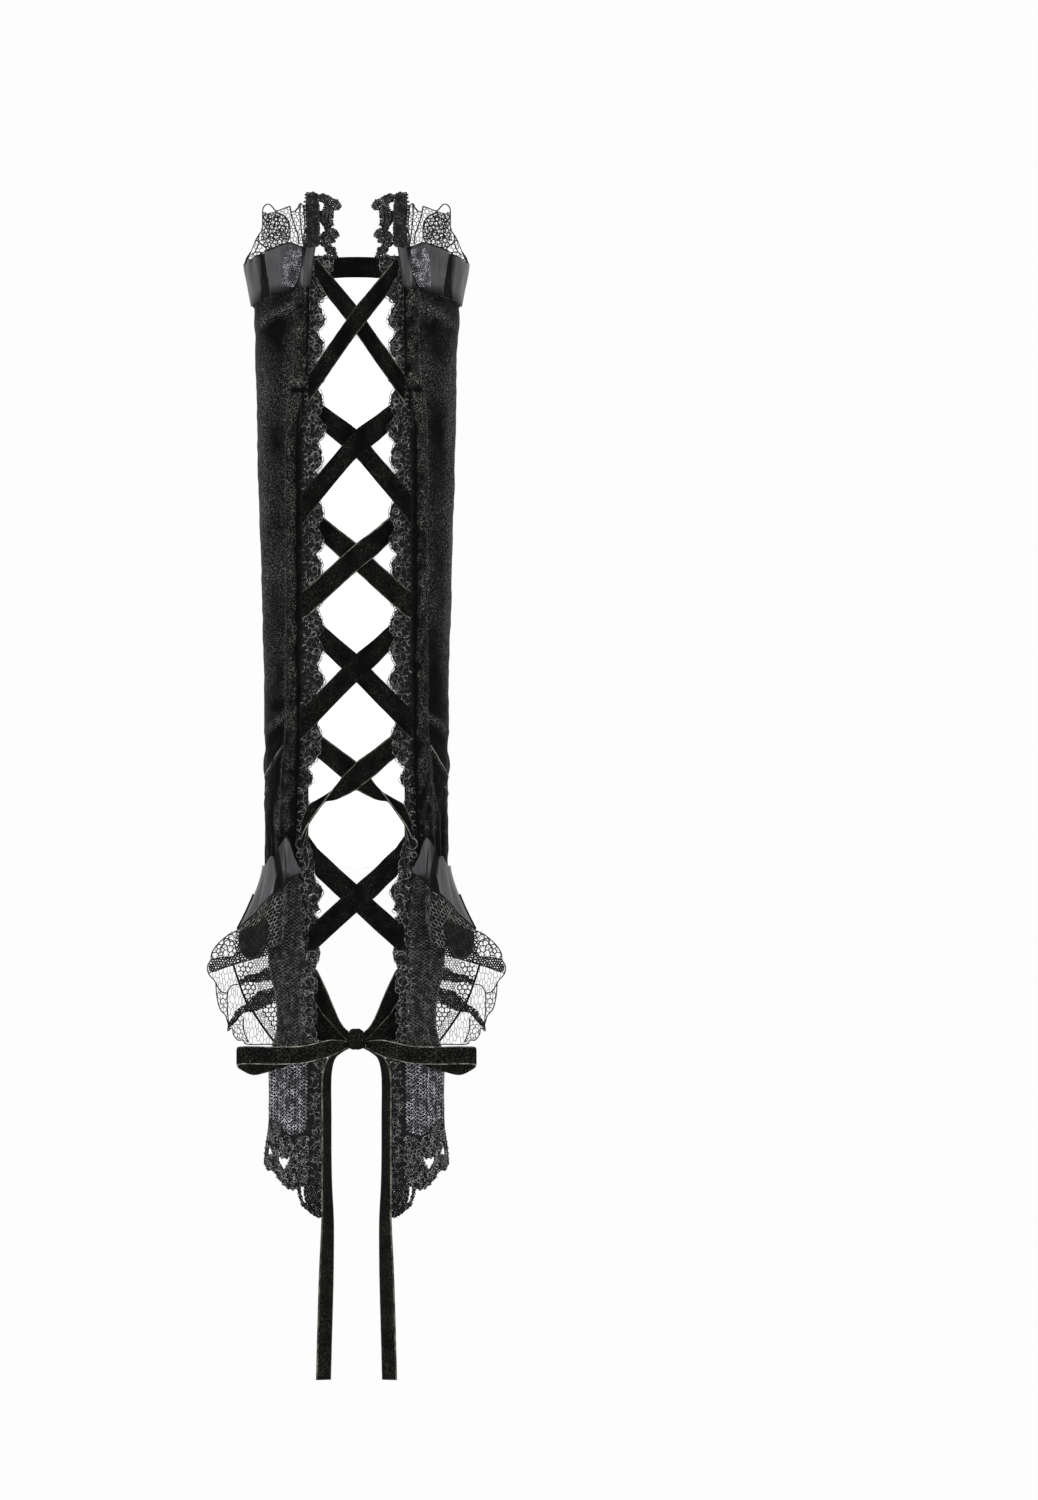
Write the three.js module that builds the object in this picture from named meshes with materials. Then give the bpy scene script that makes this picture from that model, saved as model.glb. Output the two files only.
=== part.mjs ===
// A lace-up velvet arm warmer, as it looks when it is worn.
//
// Sizes are millimetres. Z runs up the arm, X across it, and the laced front faces -Y. The origin
// is on the arm's axis at the wrist. Left and right pieces are mirror images, so each is described
// for one side by "out", its distance from the middle of the front, and built for both.

import * as THREE from 'three';

// Thickness of each cloth, and the clearance that pieces keep
const VELVET = 1.6;
const SATIN = 1.0;
const LACE = 1.0;
const CROCHET = 1.0;
const RIBBON = 1.0;
const CLEAR = 0.35;

// The arm's oval that the cloth follows, from the elbow end down to the fingers
const FORM = [
  { z: 290, halfWidth: 47.6, halfDepth: 33.4 },
  { z: 256, halfWidth: 47.4, halfDepth: 33.4 },
  { z: 235, halfWidth: 47.1, halfDepth: 33.2 },
  { z: 201, halfWidth: 46.2, halfDepth: 32.6 },
  { z: 146, halfWidth: 45.0, halfDepth: 31.4 },
  { z: 106, halfWidth: 43.8, halfDepth: 30.2 },
  { z: 72, halfWidth: 42.7, halfDepth: 29.2 },
  { z: 37, halfWidth: 42.5, halfDepth: 28.4 },
  { z: 0, halfWidth: 42.0, halfDepth: 27.8 },
  { z: -60, halfWidth: 42.0, halfDepth: 27.0 },
  { z: -120, halfWidth: 43.0, halfDepth: 26.5 },
  { z: -190, halfWidth: 44.0, halfDepth: 26.0 },
];

// The sleeve: the heights of its wall's rows, closer where it folds, and its cells round the arm
const SLEEVE_HEIGHTS = [
  255.5, 240, 229, 221, 214, 205, 182, 174, 146, 106, 70,
  58, 50, 42, 34, 26, 18, 10, 2, -6, -14, -22];
const SLEEVE_COLUMNS = 22;

// Folds pressed into the sleeve, each a soft groove (or a ridge, where depth is negative) at an
// angle round from the front, in degrees, that climbs by "slope" mm for each degree
const SLEEVE_FOLDS = [
  { z: 229, angle: 75, depth: -0.9, high: 6, wide: 60, slope: -0.15 },
  { z: 214, angle: 75, depth: 0.6, high: 7, wide: 50, slope: -0.15 },
  { z: 47, angle: 70, depth: -1.0, high: 8, wide: 22, slope: -0.7 },
  { z: 30, angle: 75, depth: 1.3, high: 7, wide: 25, slope: -0.8 },
  { z: 8, angle: 80, depth: -1.0, high: 7, wide: 25, slope: -0.6 },
  { z: -8, angle: 80, depth: 1.3, high: 6, wide: 35, slope: -0.3 },
];
const FOLDS_START = 37;
const FOLDS_FULL = 57;

// Where the front edges run: the crochet edging's root, the ribbon's turn through it, and the
// edging's notches and scallop tips
const FRONT_EDGE = [
  { z: 289, root: 17.4, turn: 17.0, notch: 12.4, tip: 7.2 },
  { z: 265, root: 17.4, turn: 17.0, notch: 12.0, tip: 8.6 },
  { z: 262, root: 18.9, turn: 18.7, notch: 12.2, tip: 9.6 },
  { z: 245, root: 20.2, turn: 18.7, notch: 16.0, tip: 11.6 },
  { z: 237.5, root: 24.6, turn: 20.6, notch: 17.6, tip: 14.0 },
  { z: 210, root: 25.0, turn: 21.8, notch: 18.2, tip: 14.6 },
  { z: 182, root: 25.6, turn: 21.9, notch: 18.3, tip: 14.8 },
  { z: 174, root: 27.8, turn: 24.6, notch: 18.4, tip: 14.8 },
  { z: 42, root: 28.2, turn: 25.0, notch: 18.4, tip: 15.0 },
  { z: 24, root: 28.2, turn: 25.0, notch: 21.8, tip: 19.0 },
  { z: -10, root: 28.0, turn: 25.0, notch: 21.8, tip: 19.6 },
  { z: -18, root: 27.0, turn: 24.6, notch: 18.6, tip: 15.4 },
  { z: -57, root: 24.0, turn: 21.8, notch: 18.0, tip: 14.8 },
  { z: -100, root: 23.0, turn: 20.6, notch: 17.8, tip: 14.8 },
  { z: -170.8, root: 23.0, turn: 20.6, notch: 17.8, tip: 14.8 },
  { z: -171.2, root: 26.4, turn: 25.4, notch: 17.6, tip: 15.0 },
  { z: -177, root: 24.8, turn: 24.0, notch: 17.4, tip: 15.2 },
  { z: -183.5, root: 19.4, turn: 19.4, notch: 16.6, tip: 15.8 },
];
const EDGING_TOP = 288.4;
const EDGING_BOTTOM = -183.5;
const SCALLOPS = 37;
const SCALLOP_STEPS = [0, 0.34, 0.72];
const SCALLOP_SHAPE = [0, 1, 0.85];
const EDGING_LEVEL = -0.6;
const TURN_RADIUS = 1.4;
const SLOT_MARGIN = 0.5;
const SLOT_ABOVE = 4.4;
const SLOT_BELOW = 7.5;

// The holes beside the standing tab, and the long one in the last scallop
const EDGING_HOLES = [
  { top: 284, bottom: 279 },
  { top: 274.5, bottom: 268 },
  { top: 265.5, bottom: 260 },
  { top: -171.4, bottom: -177 },
];

// The lacing: one row for each crossing, with the height where the strand comes out from behind
// the edging, where it crosses, where it turns through the edging, and how far a twist narrows it
const LACING = [
  { upper: 252.5, cross: 229.1, lower: 197.0, pinch: 0 },
  { upper: 186.5, cross: 173.0, lower: 142.5, pinch: 0 },
  { upper: 135.7, cross: 120.8, lower: 97.5, pinch: 0 },
  { upper: 86.0, cross: 69.9, lower: 43.5, pinch: 0 },
  { upper: 34.0, cross: 20.2, lower: -6.0, pinch: 0.55 },
  { upper: -17.0, cross: -35.9, lower: -56.5, pinch: 0 },
];
const STRAND_HEIGHT = 13.2;
const UPPER_HEIGHT = 11.4;
const RIBBON_WIDTH = 9.5;
const PINCH = { across: -14, spread: 6 };
const BAR = { reach: 16, arch: 0.6, rise: 0.2 };
const TURN_STEPS = [0.1, 0.37, 0.63, 0.9];
const TURN_LEAD = 3.2;
const TURN_DROP = 5.5;

// Levels of the two strands above the arm's oval on their way across, from the upper end. The
// first pair starts in front of the edging, and the others start behind it
const STRAND_LEVELS = [
  { across: 19.0, over: -2.0, under: -2.0, firstOver: 0.9, firstUnder: 0.9 },
  { across: 14.0, over: -1.9, under: -1.9, firstOver: 0.9, firstUnder: 0.9 },
  { across: 8.0, over: 1.2, under: -0.6, firstOver: 1.2, firstUnder: 0.4 },
  { across: 0.0, over: 1.2, under: -0.6, firstOver: 1.2, firstUnder: -0.6 },
  { across: -8.0, over: 1.2, under: -0.5, firstOver: 1.2, firstUnder: -0.5 },
  { across: -14.0, over: 1.0, under: 0.7, firstOver: 1.0, firstUnder: 0.7 },
];
const FRONT_LEVEL = 0.8;
const BACK_LEVEL = -2.0;

// The last stretch of ribbon, from behind the edging down to the knot
const TO_KNOT = [
  { out: 20.0, z: -68.5, level: -2.0, height: 15.0 },
  { out: 17.0, z: -80.0, level: -2.0, height: 15.5 },
  { out: 12.4, z: -88.5, level: -1.2, height: 11.0 },
  { out: 8.6, z: -95.0, level: 0.4, height: 7.0 },
  { out: 4.7, z: -98.9, level: 1.6, height: 4.6 },
];

// The bow: its knot, and stations along a loop and a tail
const KNOT = { z: -100.8, y: -29.0, halfWidth: 4.5, halfHeight: 4.9, halfDepth: 4.6 };
const BOW_LOOP = [
  { out: 4.3, y: -31.0, z: -103.2, height: 3.0 },
  { out: 11.3, y: -32.6, z: -104.7, height: 7.4 },
  { out: 17.0, y: -33.2, z: -106.1, height: 8.1 },
  { out: 25.5, y: -33.4, z: -107.9, height: 8.2 },
  { out: 37.0, y: -33.3, z: -108.3, height: 8.3 },
  { out: 48.0, y: -33.4, z: -108.1, height: 8.3 },
  { out: 53.2, y: -32.8, z: -108.2, height: 8.3 },
  { out: 54.7, y: -31.2, z: -109.0, height: 8.5 },
  { out: 53.0, y: -29.8, z: -110.6, height: 8.8 },
  { out: 47.7, y: -29.5, z: -112.7, height: 9.2 },
  { out: 41.2, y: -29.4, z: -111.5, height: 9.2 },
  { out: 31.7, y: -29.3, z: -108.8, height: 8.6 },
  { out: 15.0, y: -29.2, z: -105.2, height: 5.4 },
  { out: 5.0, y: -29.2, z: -103.3, height: 2.2 },
];
const BOW_TAIL = [
  { out: 3.2, y: -27.0, z: -104.3, gather: 0.25 },
  { out: 7.4, y: -26.2, z: -106.4, gather: 0.5 },
  { out: 11.4, y: -26.3, z: -109.6, gather: 0.75 },
  { out: 13.4, y: -26.8, z: -115.2, gather: 0.95 },
  { out: 13.9, y: -27.0, z: -123.0, gather: 1 },
  { out: 13.8, y: -27.0, z: -135.0, gather: 1 },
  { out: 13.8, y: -27.0, z: -150.0, gather: 1 },
  { out: 13.7, y: -27.1, z: -168.0, gather: 1 },
  { out: 13.3, y: -27.2, z: -184.0, gather: 1 },
  { out: 13.7, y: -27.1, z: -202.0, gather: 1 },
  { out: 14.2, y: -26.8, z: -220.0, gather: 1 },
  { out: 14.7, y: -26.6, z: -238.0, gather: 1 },
  { out: 15.2, y: -26.5, z: -257.6, gather: 1 },
];
const TAIL_TURN = 45;

// The velvet bands along the front edges
const PLACKET = [
  { z: 242.6, outer: 28.0, inner: 21.4, rise: 1.2 },
  { z: 220, outer: 28.2, inner: 22.0, rise: 1.0 },
  { z: 203, outer: 28.6, inner: 22.8, rise: 1.4 },
  { z: 198, outer: 29.4, inner: 23.2, rise: 0.7 },
  { z: 190, outer: 30.6, inner: 24.4, rise: 1.4 },
  { z: 174, outer: 31.0, inner: 26.0, rise: 1.1 },
  { z: 146, outer: 31.5, inner: 26.0, rise: 1.0 },
  { z: 106, outer: 31.6, inner: 26.0, rise: 1.4 },
  { z: 60, outer: 32.2, inner: 26.0, rise: 1.0 },
  { z: 30, outer: 33.2, inner: 26.2, rise: 1.4 },
  { z: 8, outer: 34.2, inner: 26.6, rise: 1.0 },
  { z: -6.6, outer: 34.8, inner: 27.4, rise: 1.0 },
];
const PLACKET_ROWS = 22;
const PLACKET_LAID = 237;
const PLACKET_THICK = 1.1;
const PLACKET_LEVEL = 0.25;
const PLACKET_RUCHE = 0.2;
const PLACKET_STEPS = [0, 0.3, 0.7, 1];

// The standing tabs and the satin strips that bind their lower ends
const TAB = [
  { z: 288.4, outer: 22.6, inner: 17.8 },
  { z: 282, outer: 22.8, inner: 17.9 },
  { z: 274, outer: 22.6, inner: 17.7 },
  { z: 265.4, outer: 22.8, inner: 17.8 },
];
const BINDING = [
  { z: 265.0, outer: 23.4, inner: 17.9 },
  { z: 261.0, outer: 23.6, inner: 19.6 },
  { z: 254.0, outer: 24.0, inner: 20.4 },
  { z: 244.2, outer: 24.6, inner: 20.9 },
];
const TAB_THICK = 2.0;
const TAB_LEVEL = 0.8;

// The satin frill round the top: its front end, the heights of its seam and its upper edge, how
// far it flares, and its pleats, whose pitch is in degrees and whose steps are parts of a pleat
const FRILL_END = 25.4;
const FRILL_SEAM = { front: 244.8, back: 232.5 };
const FRILL_EDGE = { front: 263.8, back: 252.0 };
const FRILL_FLARE = 3.0;
const PLEAT_PITCH = 28.6;
const PLEAT_DEPTH = 2.8;
const PLEAT_STEPS = [0, 0.06, 0.3, 0.55, 0.8];
const PLEAT_FULLNESS = 1.6;
const PLEAT_INWARD = 0.5;
const FRILL_FRONT_HUG = 0.55;
const FRILL_ROWS = 2;

// The net lace on the frill: how tall it stands and how far it leans in at angles round from the
// front, and its holes
const TOP_LACE = [
  { angle: 27, tall: 18.4, lean: 0.8 },
  { angle: 46, tall: 18.0, lean: 0.8 },
  { angle: 58, tall: 21.0, lean: 0.9 },
  { angle: 62, tall: 16.0, lean: 1.6 },
  { angle: 70, tall: 11.4, lean: 3.7 },
  { angle: 80, tall: 8.4, lean: 3.6 },
  { angle: 90, tall: 4.4, lean: 1.6 },
  { angle: 112, tall: 3.8, lean: 0.0 },
  { angle: 180, tall: 3.6, lean: -0.6 },
];
const TOP_LACE_PIERCED_TO = 92;
const TOP_LACE_HOLES = 8;
const TOP_LACE_BACK = [118, 135, 152, 168];
const TOP_LACE_ROWS = [0, 0.12, 0.42, 0.54, 0.86, 1];
const TOP_LACE_PEAK = 0.1;
const TOP_LACE_CLEAR = 0.8;
const NET_BAR = 0.24;

// The wrist flounce: its seam's height, its drop, its flare and its waves at angles round from the
// front. It curves outward as it falls
const FLOUNCE = [
  { angle: 36.5, seam: -23.5, drop: 2.8, flare: 1.0, wave: 0 },
  { angle: 40, seam: -15.2, drop: 12.4, flare: 1.6, wave: 0.4 },
  { angle: 43, seam: -10.1, drop: 18.9, flare: 2.0, wave: 0.9 },
  { angle: 45.6, seam: -8.3, drop: 22.0, flare: 2.3, wave: 1.1 },
  { angle: 48, seam: -9.8, drop: 21.0, flare: 2.3, wave: 0.8 },
  { angle: 50, seam: -12.6, drop: 17.0, flare: 2.0, wave: -1.2 },
  { angle: 53.6, seam: -14.6, drop: 15.2, flare: 2.2, wave: -1.6 },
  { angle: 55.4, seam: -15.0, drop: 15.6, flare: 2.6, wave: 1.0 },
  { angle: 60.5, seam: -14.3, drop: 17.6, flare: 3.0, wave: 1.0 },
  { angle: 64, seam: -16.3, drop: 16.8, flare: 3.2, wave: 0.8 },
  { angle: 70, seam: -19.3, drop: 15.7, flare: 4.2, wave: 0.2 },
  { angle: 74, seam: -21.0, drop: 17.5, flare: 4.6, wave: -0.2 },
  { angle: 76, seam: -21.7, drop: 24.5, flare: 5.6, wave: 0 },
  { angle: 84, seam: -22.8, drop: 26.4, flare: 9.4, wave: 0 },
  { angle: 90, seam: -23.0, drop: 27.2, flare: 11.0, wave: 0 },
  { angle: 98, seam: -23.0, drop: 27.4, flare: 11.2, wave: 0.8 },
  { angle: 107, seam: -23.0, drop: 27.2, flare: 10.8, wave: -0.8 },
  { angle: 116, seam: -23.0, drop: 27.0, flare: 10.0, wave: 0.8 },
  { angle: 125, seam: -23.0, drop: 26.0, flare: 8.8, wave: -0.6 },
  { angle: 135, seam: -23.0, drop: 25.0, flare: 7.2, wave: 0 },
];
const FLOUNCE_ROWS = 3;
const FLOUNCE_CURVE = 1.4;
const FLOUNCE_SEAM_RISE = 0.5;

// The honeycomb lace that hangs from the flounce's hem
const TIER = [
  { angle: 43, drop: 20.0, bulge: 0 },
  { angle: 46, drop: 24.0, bulge: 0.6 },
  { angle: 50, drop: 25.6, bulge: -0.4 },
  { angle: 54, drop: 27.0, bulge: 0.6 },
  { angle: 58, drop: 26.6, bulge: -0.4 },
  { angle: 62, drop: 25.0, bulge: 0.8 },
  { angle: 66, drop: 22.6, bulge: 0 },
  { angle: 70, drop: 19.6, bulge: 0.6 },
  { angle: 73, drop: 21.0, bulge: 0 },
  { angle: 76, drop: 16.5, bulge: 0 },
  { angle: 80, drop: 14.5, bulge: 0.3 },
  { angle: 84, drop: 12.5, bulge: 0 },
  { angle: 88, drop: 6.5, bulge: 0 },
];
const TIER_ROWS = 3;
const TIER_CLEAR = 0.8;

// The net lace beside the hand: the height where each rib is sewn to the hand panel's side, and
// where its tip ends, which the folds draw to the front or the back in turn
const FAN = [
  { root: -53.0, tipOut: 55.6, tipY: 4.0, tipZ: -52.2 },
  { root: -58.0, tipOut: 64.4, tipY: 6.0, tipZ: -57.8 },
  { root: -64.0, tipOut: 68.5, tipY: -2.0, tipZ: -68.0 },
  { root: -71.0, tipOut: 65.8, tipY: 3.0, tipZ: -74.5 },
  { root: -77.5, tipOut: 64.4, tipY: -4.0, tipZ: -81.0 },
  { root: -83.5, tipOut: 63.0, tipY: 3.0, tipZ: -88.5 },
  { root: -89.0, tipOut: 59.4, tipY: -2.0, tipZ: -96.5 },
  { root: -95.0, tipOut: 53.4, tipY: 4.0, tipZ: -101.5 },
  { root: -101.5, tipOut: 45.0, tipY: -2.0, tipZ: -103.4 },
];
const FAN_SEAM = 0.85;
const FAN_RIB_BAR = 0.26;
const FAN_ROWS = [0, 0.1, 0.33, 0.43, 0.66, 0.76, 0.94, 1];

// The hand panel: its outer and inner edges on the way down, and its scalloped hem
const HAND_PANEL = [
  { z: -22.5, outer: 39.6, inner: 27.6 },
  { z: -40, outer: 40.2, inner: 25.8 },
  { z: -58, outer: 40.6, inner: 24.4 },
  { z: -70, outer: 40.0, inner: 23.9 },
  { z: -80, outer: 38.0, inner: 23.6 },
  { z: -88, outer: 37.0, inner: 23.4 },
  { z: -100, outer: 37.2, inner: 23.4 },
  { z: -118, outer: 40.0, inner: 23.4 },
  { z: -138, outer: 41.2, inner: 23.4 },
  { z: -150, outer: 42.4, inner: 23.4 },
];
const HEM = [
  { part: 0, z: -159.0 },
  { part: 0.17, z: -160.0 },
  { part: 0.34, z: -164.5 },
  { part: 0.5, z: -168.4 },
  { part: 0.67, z: -170.0 },
  { part: 0.84, z: -170.2 },
  { part: 1, z: -167.6 },
];
const HEM_ROWS = 3;
const HEM_CUTS = [
  { row: 1, column: 1 },
  { row: 1, column: 3 },
];
const HAND_LEVEL = -0.6;

// Finishes
const FINISH = {
  velvet: { color: 0x1c1c1b, roughness: 0.9 },
  satin: { color: 0x58575c, roughness: 0.42 },
  net: { color: 0x2b2b2e, roughness: 0.7 },
  crochet: { color: 0x2c2c2e, roughness: 0.75 },
  fineLace: { color: 0x3a3a3e, roughness: 0.7 },
  velvetRibbon: { color: 0x141411, roughness: 0.85 },
};

// Values between a table's rows, all its columns at once; the rows are in order of "key"
function between(table, key, value) {
  const rising = table[table.length - 1][key] > table[0][key];
  const passed = (row) => (rising ? row[key] > value : row[key] < value);
  const found = table.findIndex(passed);
  const next = found < 0 ? table.length - 1 : Math.max(found, 1);
  const a = table[next - 1];
  const b = table[next];
  const part = THREE.MathUtils.clamp((value - a[key]) / (b[key] - a[key]), 0, 1);
  const row = {};
  for (const column of Object.keys(a)) {
    row[column] = a[column] + (b[column] - a[column]) * part;
  }
  return row;
}

// A point at an angle round from the front, a height, and a level above the arm's oval
function roundArm(angle, z, level) {
  const { halfWidth, halfDepth } = between(FORM, 'z', z);
  return new THREE.Vector3(
    (halfWidth + level) * Math.sin(angle), -(halfDepth + level) * Math.cos(angle), z);
}

// The same, for a place that is given by its distance across the front
function onFront(across, z, level) {
  const { halfWidth } = between(FORM, 'z', z);
  return roundArm(Math.asin(across / halfWidth), z, level);
}

function angleAcross(out, z) {
  return Math.asin(out / between(FORM, 'z', z).halfWidth);
}

// 1 at the front and 0 at the back, falling fastest on the way to the sides
function frontness(angle) {
  return ((1 + Math.cos(angle)) / 2) ** 1.5;
}

function frontToBack({ front, back }, angle) {
  return back + (front - back) * frontness(angle);
}

// Evenly spaced numbers from 0 to 1, both included
function parts(count) {
  return Array.from({ length: count + 1 }, (_, i) => i / count);
}

// A closed sheet of cloth round a grid of points, as thick as it says, with some cells left open
function cloth(rows, thickness, isOpen = () => false) {
  const high = rows.length;
  const wide = rows[0].length;
  const { clamp } = THREE.MathUtils;
  const at = (i, j) => rows[clamp(i, 0, high - 1)][clamp(j, 0, wide - 1)];
  const inside = (i, j) => i >= 0 && j >= 0 && i < high - 1 && j < wide - 1;
  const present = (i, j) => inside(i, j) && !isOpen(i, j);
  const places = [];
  const known = new Map();
  const corner = (i, j, face) => {
    const key = `${i},${j},${face}`;
    if (!known.has(key)) {
      const across = at(i, j + 1).clone().sub(at(i, j - 1));
      const along = at(i + 1, j).clone().sub(at(i - 1, j));
      const normal = across.cross(along).normalize();
      known.set(key, places.length / 3);
      places.push(...at(i, j).clone().addScaledVector(normal, (face * thickness) / 2));
    }
    return known.get(key);
  };
  const triangles = [];
  const quad = (a, b, c, d) => triangles.push(a, b, c, a, c, d);
  const wall = (i0, j0, i1, j1) =>
    quad(corner(i0, j0, 1), corner(i0, j0, -1), corner(i1, j1, -1), corner(i1, j1, 1));
  for (let i = 0; i < high - 1; i += 1) {
    for (let j = 0; j < wide - 1; j += 1) {
      if (!present(i, j)) continue;
      quad(corner(i, j, 1), corner(i, j + 1, 1), corner(i + 1, j + 1, 1), corner(i + 1, j, 1));
      quad(corner(i, j, -1), corner(i + 1, j, -1), corner(i + 1, j + 1, -1), corner(i, j + 1, -1));
      if (!present(i - 1, j)) wall(i, j, i, j + 1);
      if (!present(i, j + 1)) wall(i, j + 1, i + 1, j + 1);
      if (!present(i + 1, j)) wall(i + 1, j + 1, i + 1, j);
      if (!present(i, j - 1)) wall(i + 1, j, i, j);
    }
  }
  const geometry = new THREE.BufferGeometry();
  geometry.setAttribute('position', new THREE.Float32BufferAttribute(places, 3));
  geometry.setIndex(triangles);
  return geometry;
}

function piece(name, geometry, finish) {
  const material = new THREE.MeshStandardMaterial({ ...finish, metalness: 0 });
  const mesh = new THREE.Mesh(geometry, material);
  mesh.name = name;
  return mesh;
}

// A left and a right piece, from a function that makes one of them for side -1 or 1
function pair(name, make, thickness, finish, isOpen) {
  return [
    piece(`${name}_left`, cloth(make(-1), thickness, isOpen), finish),
    piece(`${name}_right`, cloth(make(1), thickness, isOpen), finish),
  ];
}

// How far the sleeve's folds move its wall, outward being positive
function foldLevel(angle, z) {
  const degrees = THREE.MathUtils.radToDeg(Math.min(angle, 2 * Math.PI - angle));
  let level = 0;
  for (const fold of SLEEVE_FOLDS) {
    const up = (z - fold.z - fold.slope * (degrees - fold.angle)) / fold.high;
    const round = (degrees - fold.angle) / fold.wide;
    level -= fold.depth * Math.exp(-up * up - round * round);
  }
  return level * THREE.MathUtils.smoothstep(degrees, FOLDS_START, FOLDS_FULL);
}

function sleeve() {
  const rows = SLEEVE_HEIGHTS.map((z) => {
    const start = angleAcross(between(FRONT_EDGE, 'z', Math.min(z, PLACKET_LAID)).root + CLEAR, z);
    return parts(SLEEVE_COLUMNS).map((round) => {
      const angle = start + (2 * Math.PI - 2 * start) * round;
      return roundArm(angle, z, foldLevel(angle, z) - VELVET / 2);
    });
  });
  return piece('sleeve_body', cloth(rows, VELVET), FINISH.velvet);
}

// The ruched band is a sheet over the sleeve's edge that stands up along its middle
function placket(side) {
  const top = PLACKET[0].z;
  const bottom = PLACKET[PLACKET.length - 1].z;
  return parts(PLACKET_ROWS).map((down, i) => {
    const z = top + (bottom - top) * down;
    const { outer, inner, rise } = between(PLACKET, 'z', z);
    const height = rise + (i % 2 ? PLACKET_RUCHE : 0);
    return PLACKET_STEPS.map((across) => {
      const out = outer + (inner - outer) * across;
      const standing = height * Math.sin(Math.PI * across);
      return onFront(side * out, z, PLACKET_LEVEL + PLACKET_THICK / 2 + standing);
    });
  });
}

// Heights of the edging's rows, three for each scallop, and how far each row reaches
function edgingRows() {
  const rows = [];
  const pitch = (EDGING_TOP - EDGING_BOTTOM) / SCALLOPS;
  for (let scallop = 0; scallop < SCALLOPS; scallop += 1) {
    SCALLOP_STEPS.forEach((step, k) => {
      const z = EDGING_TOP - pitch * (scallop + step);
      const { root, turn, notch, tip } = between(FRONT_EDGE, 'z', z);
      const reach = notch + (tip - notch) * SCALLOP_SHAPE[k];
      rows.push({ z, root, body: turn - TURN_RADIUS - SLOT_MARGIN, reach });
    });
  }
  const last = FRONT_EDGE[FRONT_EDGE.length - 1];
  rows.push({ z: EDGING_BOTTOM, root: last.root, body: last.turn - TURN_RADIUS, reach: last.tip });
  return rows;
}

// The heights that the edging leaves open beside its root: its holes, and the ribbon's slots
function edgingGaps() {
  const slots = LACING.map(({ lower }) => ({
    top: lower + STRAND_HEIGHT / 2 + SLOT_ABOVE,
    bottom: lower - STRAND_HEIGHT / 2 - SLOT_BELOW,
  }));
  const bar = LACING[0].upper;
  const barSlot = { top: bar + RIBBON_WIDTH / 2 + SLOT_ABOVE, bottom: bar - RIBBON_WIDTH / 2 - SLOT_ABOVE };
  return [...EDGING_HOLES, ...slots, barSlot];
}

function edging(side) {
  return edgingRows().map(({ z, root, body, reach }) =>
    [root, body, reach].map((out) => onFront(side * out, z, EDGING_LEVEL)));
}

function edgingIsOpen(row, column) {
  const rows = edgingRows();
  const middle = (rows[row].z + rows[row + 1].z) / 2;
  return column === 0 && edgingGaps().some(({ top, bottom }) => middle < top && middle > bottom);
}

// A flat band along the front edge, from a table of its outer and inner edges
function frontBand(table, level) {
  return (side) => table.map(({ z, outer, inner }) =>
    [outer, inner].map((out) => onFront(side * out, z, level)));
}

// The frill's level above the arm's oval: its flare, and a pleat that folds in at each end
function frillLevel(angle, up) {
  const round = THREE.MathUtils.radToDeg(Math.min(angle, 2 * Math.PI - angle));
  const inPleat = (round / PLEAT_PITCH) % 1;
  const fold = Math.min(1, Math.sqrt(Math.sin(Math.PI * inPleat) * PLEAT_FULLNESS));
  const flare = FRILL_FLARE * (1 - FRILL_FRONT_HUG * frontness(angle));
  return CLEAR + SATIN / 2 + up * (flare + PLEAT_DEPTH * (fold - PLEAT_INWARD));
}

// Angles round the frill, with steps at each pleat's fold, from the front's one side to the other
function frillAngles() {
  const start = THREE.MathUtils.radToDeg(angleAcross(FRILL_END, 256));
  const angles = [start];
  for (let pleat = 1; pleat * PLEAT_PITCH < 180; pleat += 1) {
    for (const step of PLEAT_STEPS) {
      const angle = (pleat + step) * PLEAT_PITCH;
      if (angle > start + 2 && angle < 180) angles.push(angle);
    }
  }
  const half = angles.map(THREE.MathUtils.degToRad);
  return [...half, Math.PI, ...half.map((angle) => 2 * Math.PI - angle).reverse()];
}

function topFrill() {
  const rows = parts(FRILL_ROWS).map((up) => frillAngles().map((angle) => {
    const seam = frontToBack(FRILL_SEAM, angle);
    const edge = frontToBack(FRILL_EDGE, angle);
    return roundArm(angle, seam + (edge - seam) * up, frillLevel(angle, up));
  }));
  return piece('top_frill', cloth(rows, SATIN), FINISH.satin);
}

// The lace's holes are at the front, where it stands tall, and round the back it is a plain low edge
function topLaceAngles() {
  const start = angleAcross(FRILL_END, 256);
  const end = THREE.MathUtils.degToRad(TOP_LACE_PIERCED_TO);
  const half = [start];
  for (let hole = 0; hole < TOP_LACE_HOLES; hole += 1) {
    half.push(start + ((end - start) * (hole + NET_BAR)) / TOP_LACE_HOLES);
    half.push(start + ((end - start) * (hole + 1)) / TOP_LACE_HOLES);
  }
  half.push(end + (end - start) * NET_BAR / TOP_LACE_HOLES);
  for (const degrees of TOP_LACE_BACK) half.push(THREE.MathUtils.degToRad(degrees));
  return [...half, ...half.map((angle) => 2 * Math.PI - angle).reverse()];
}

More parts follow.
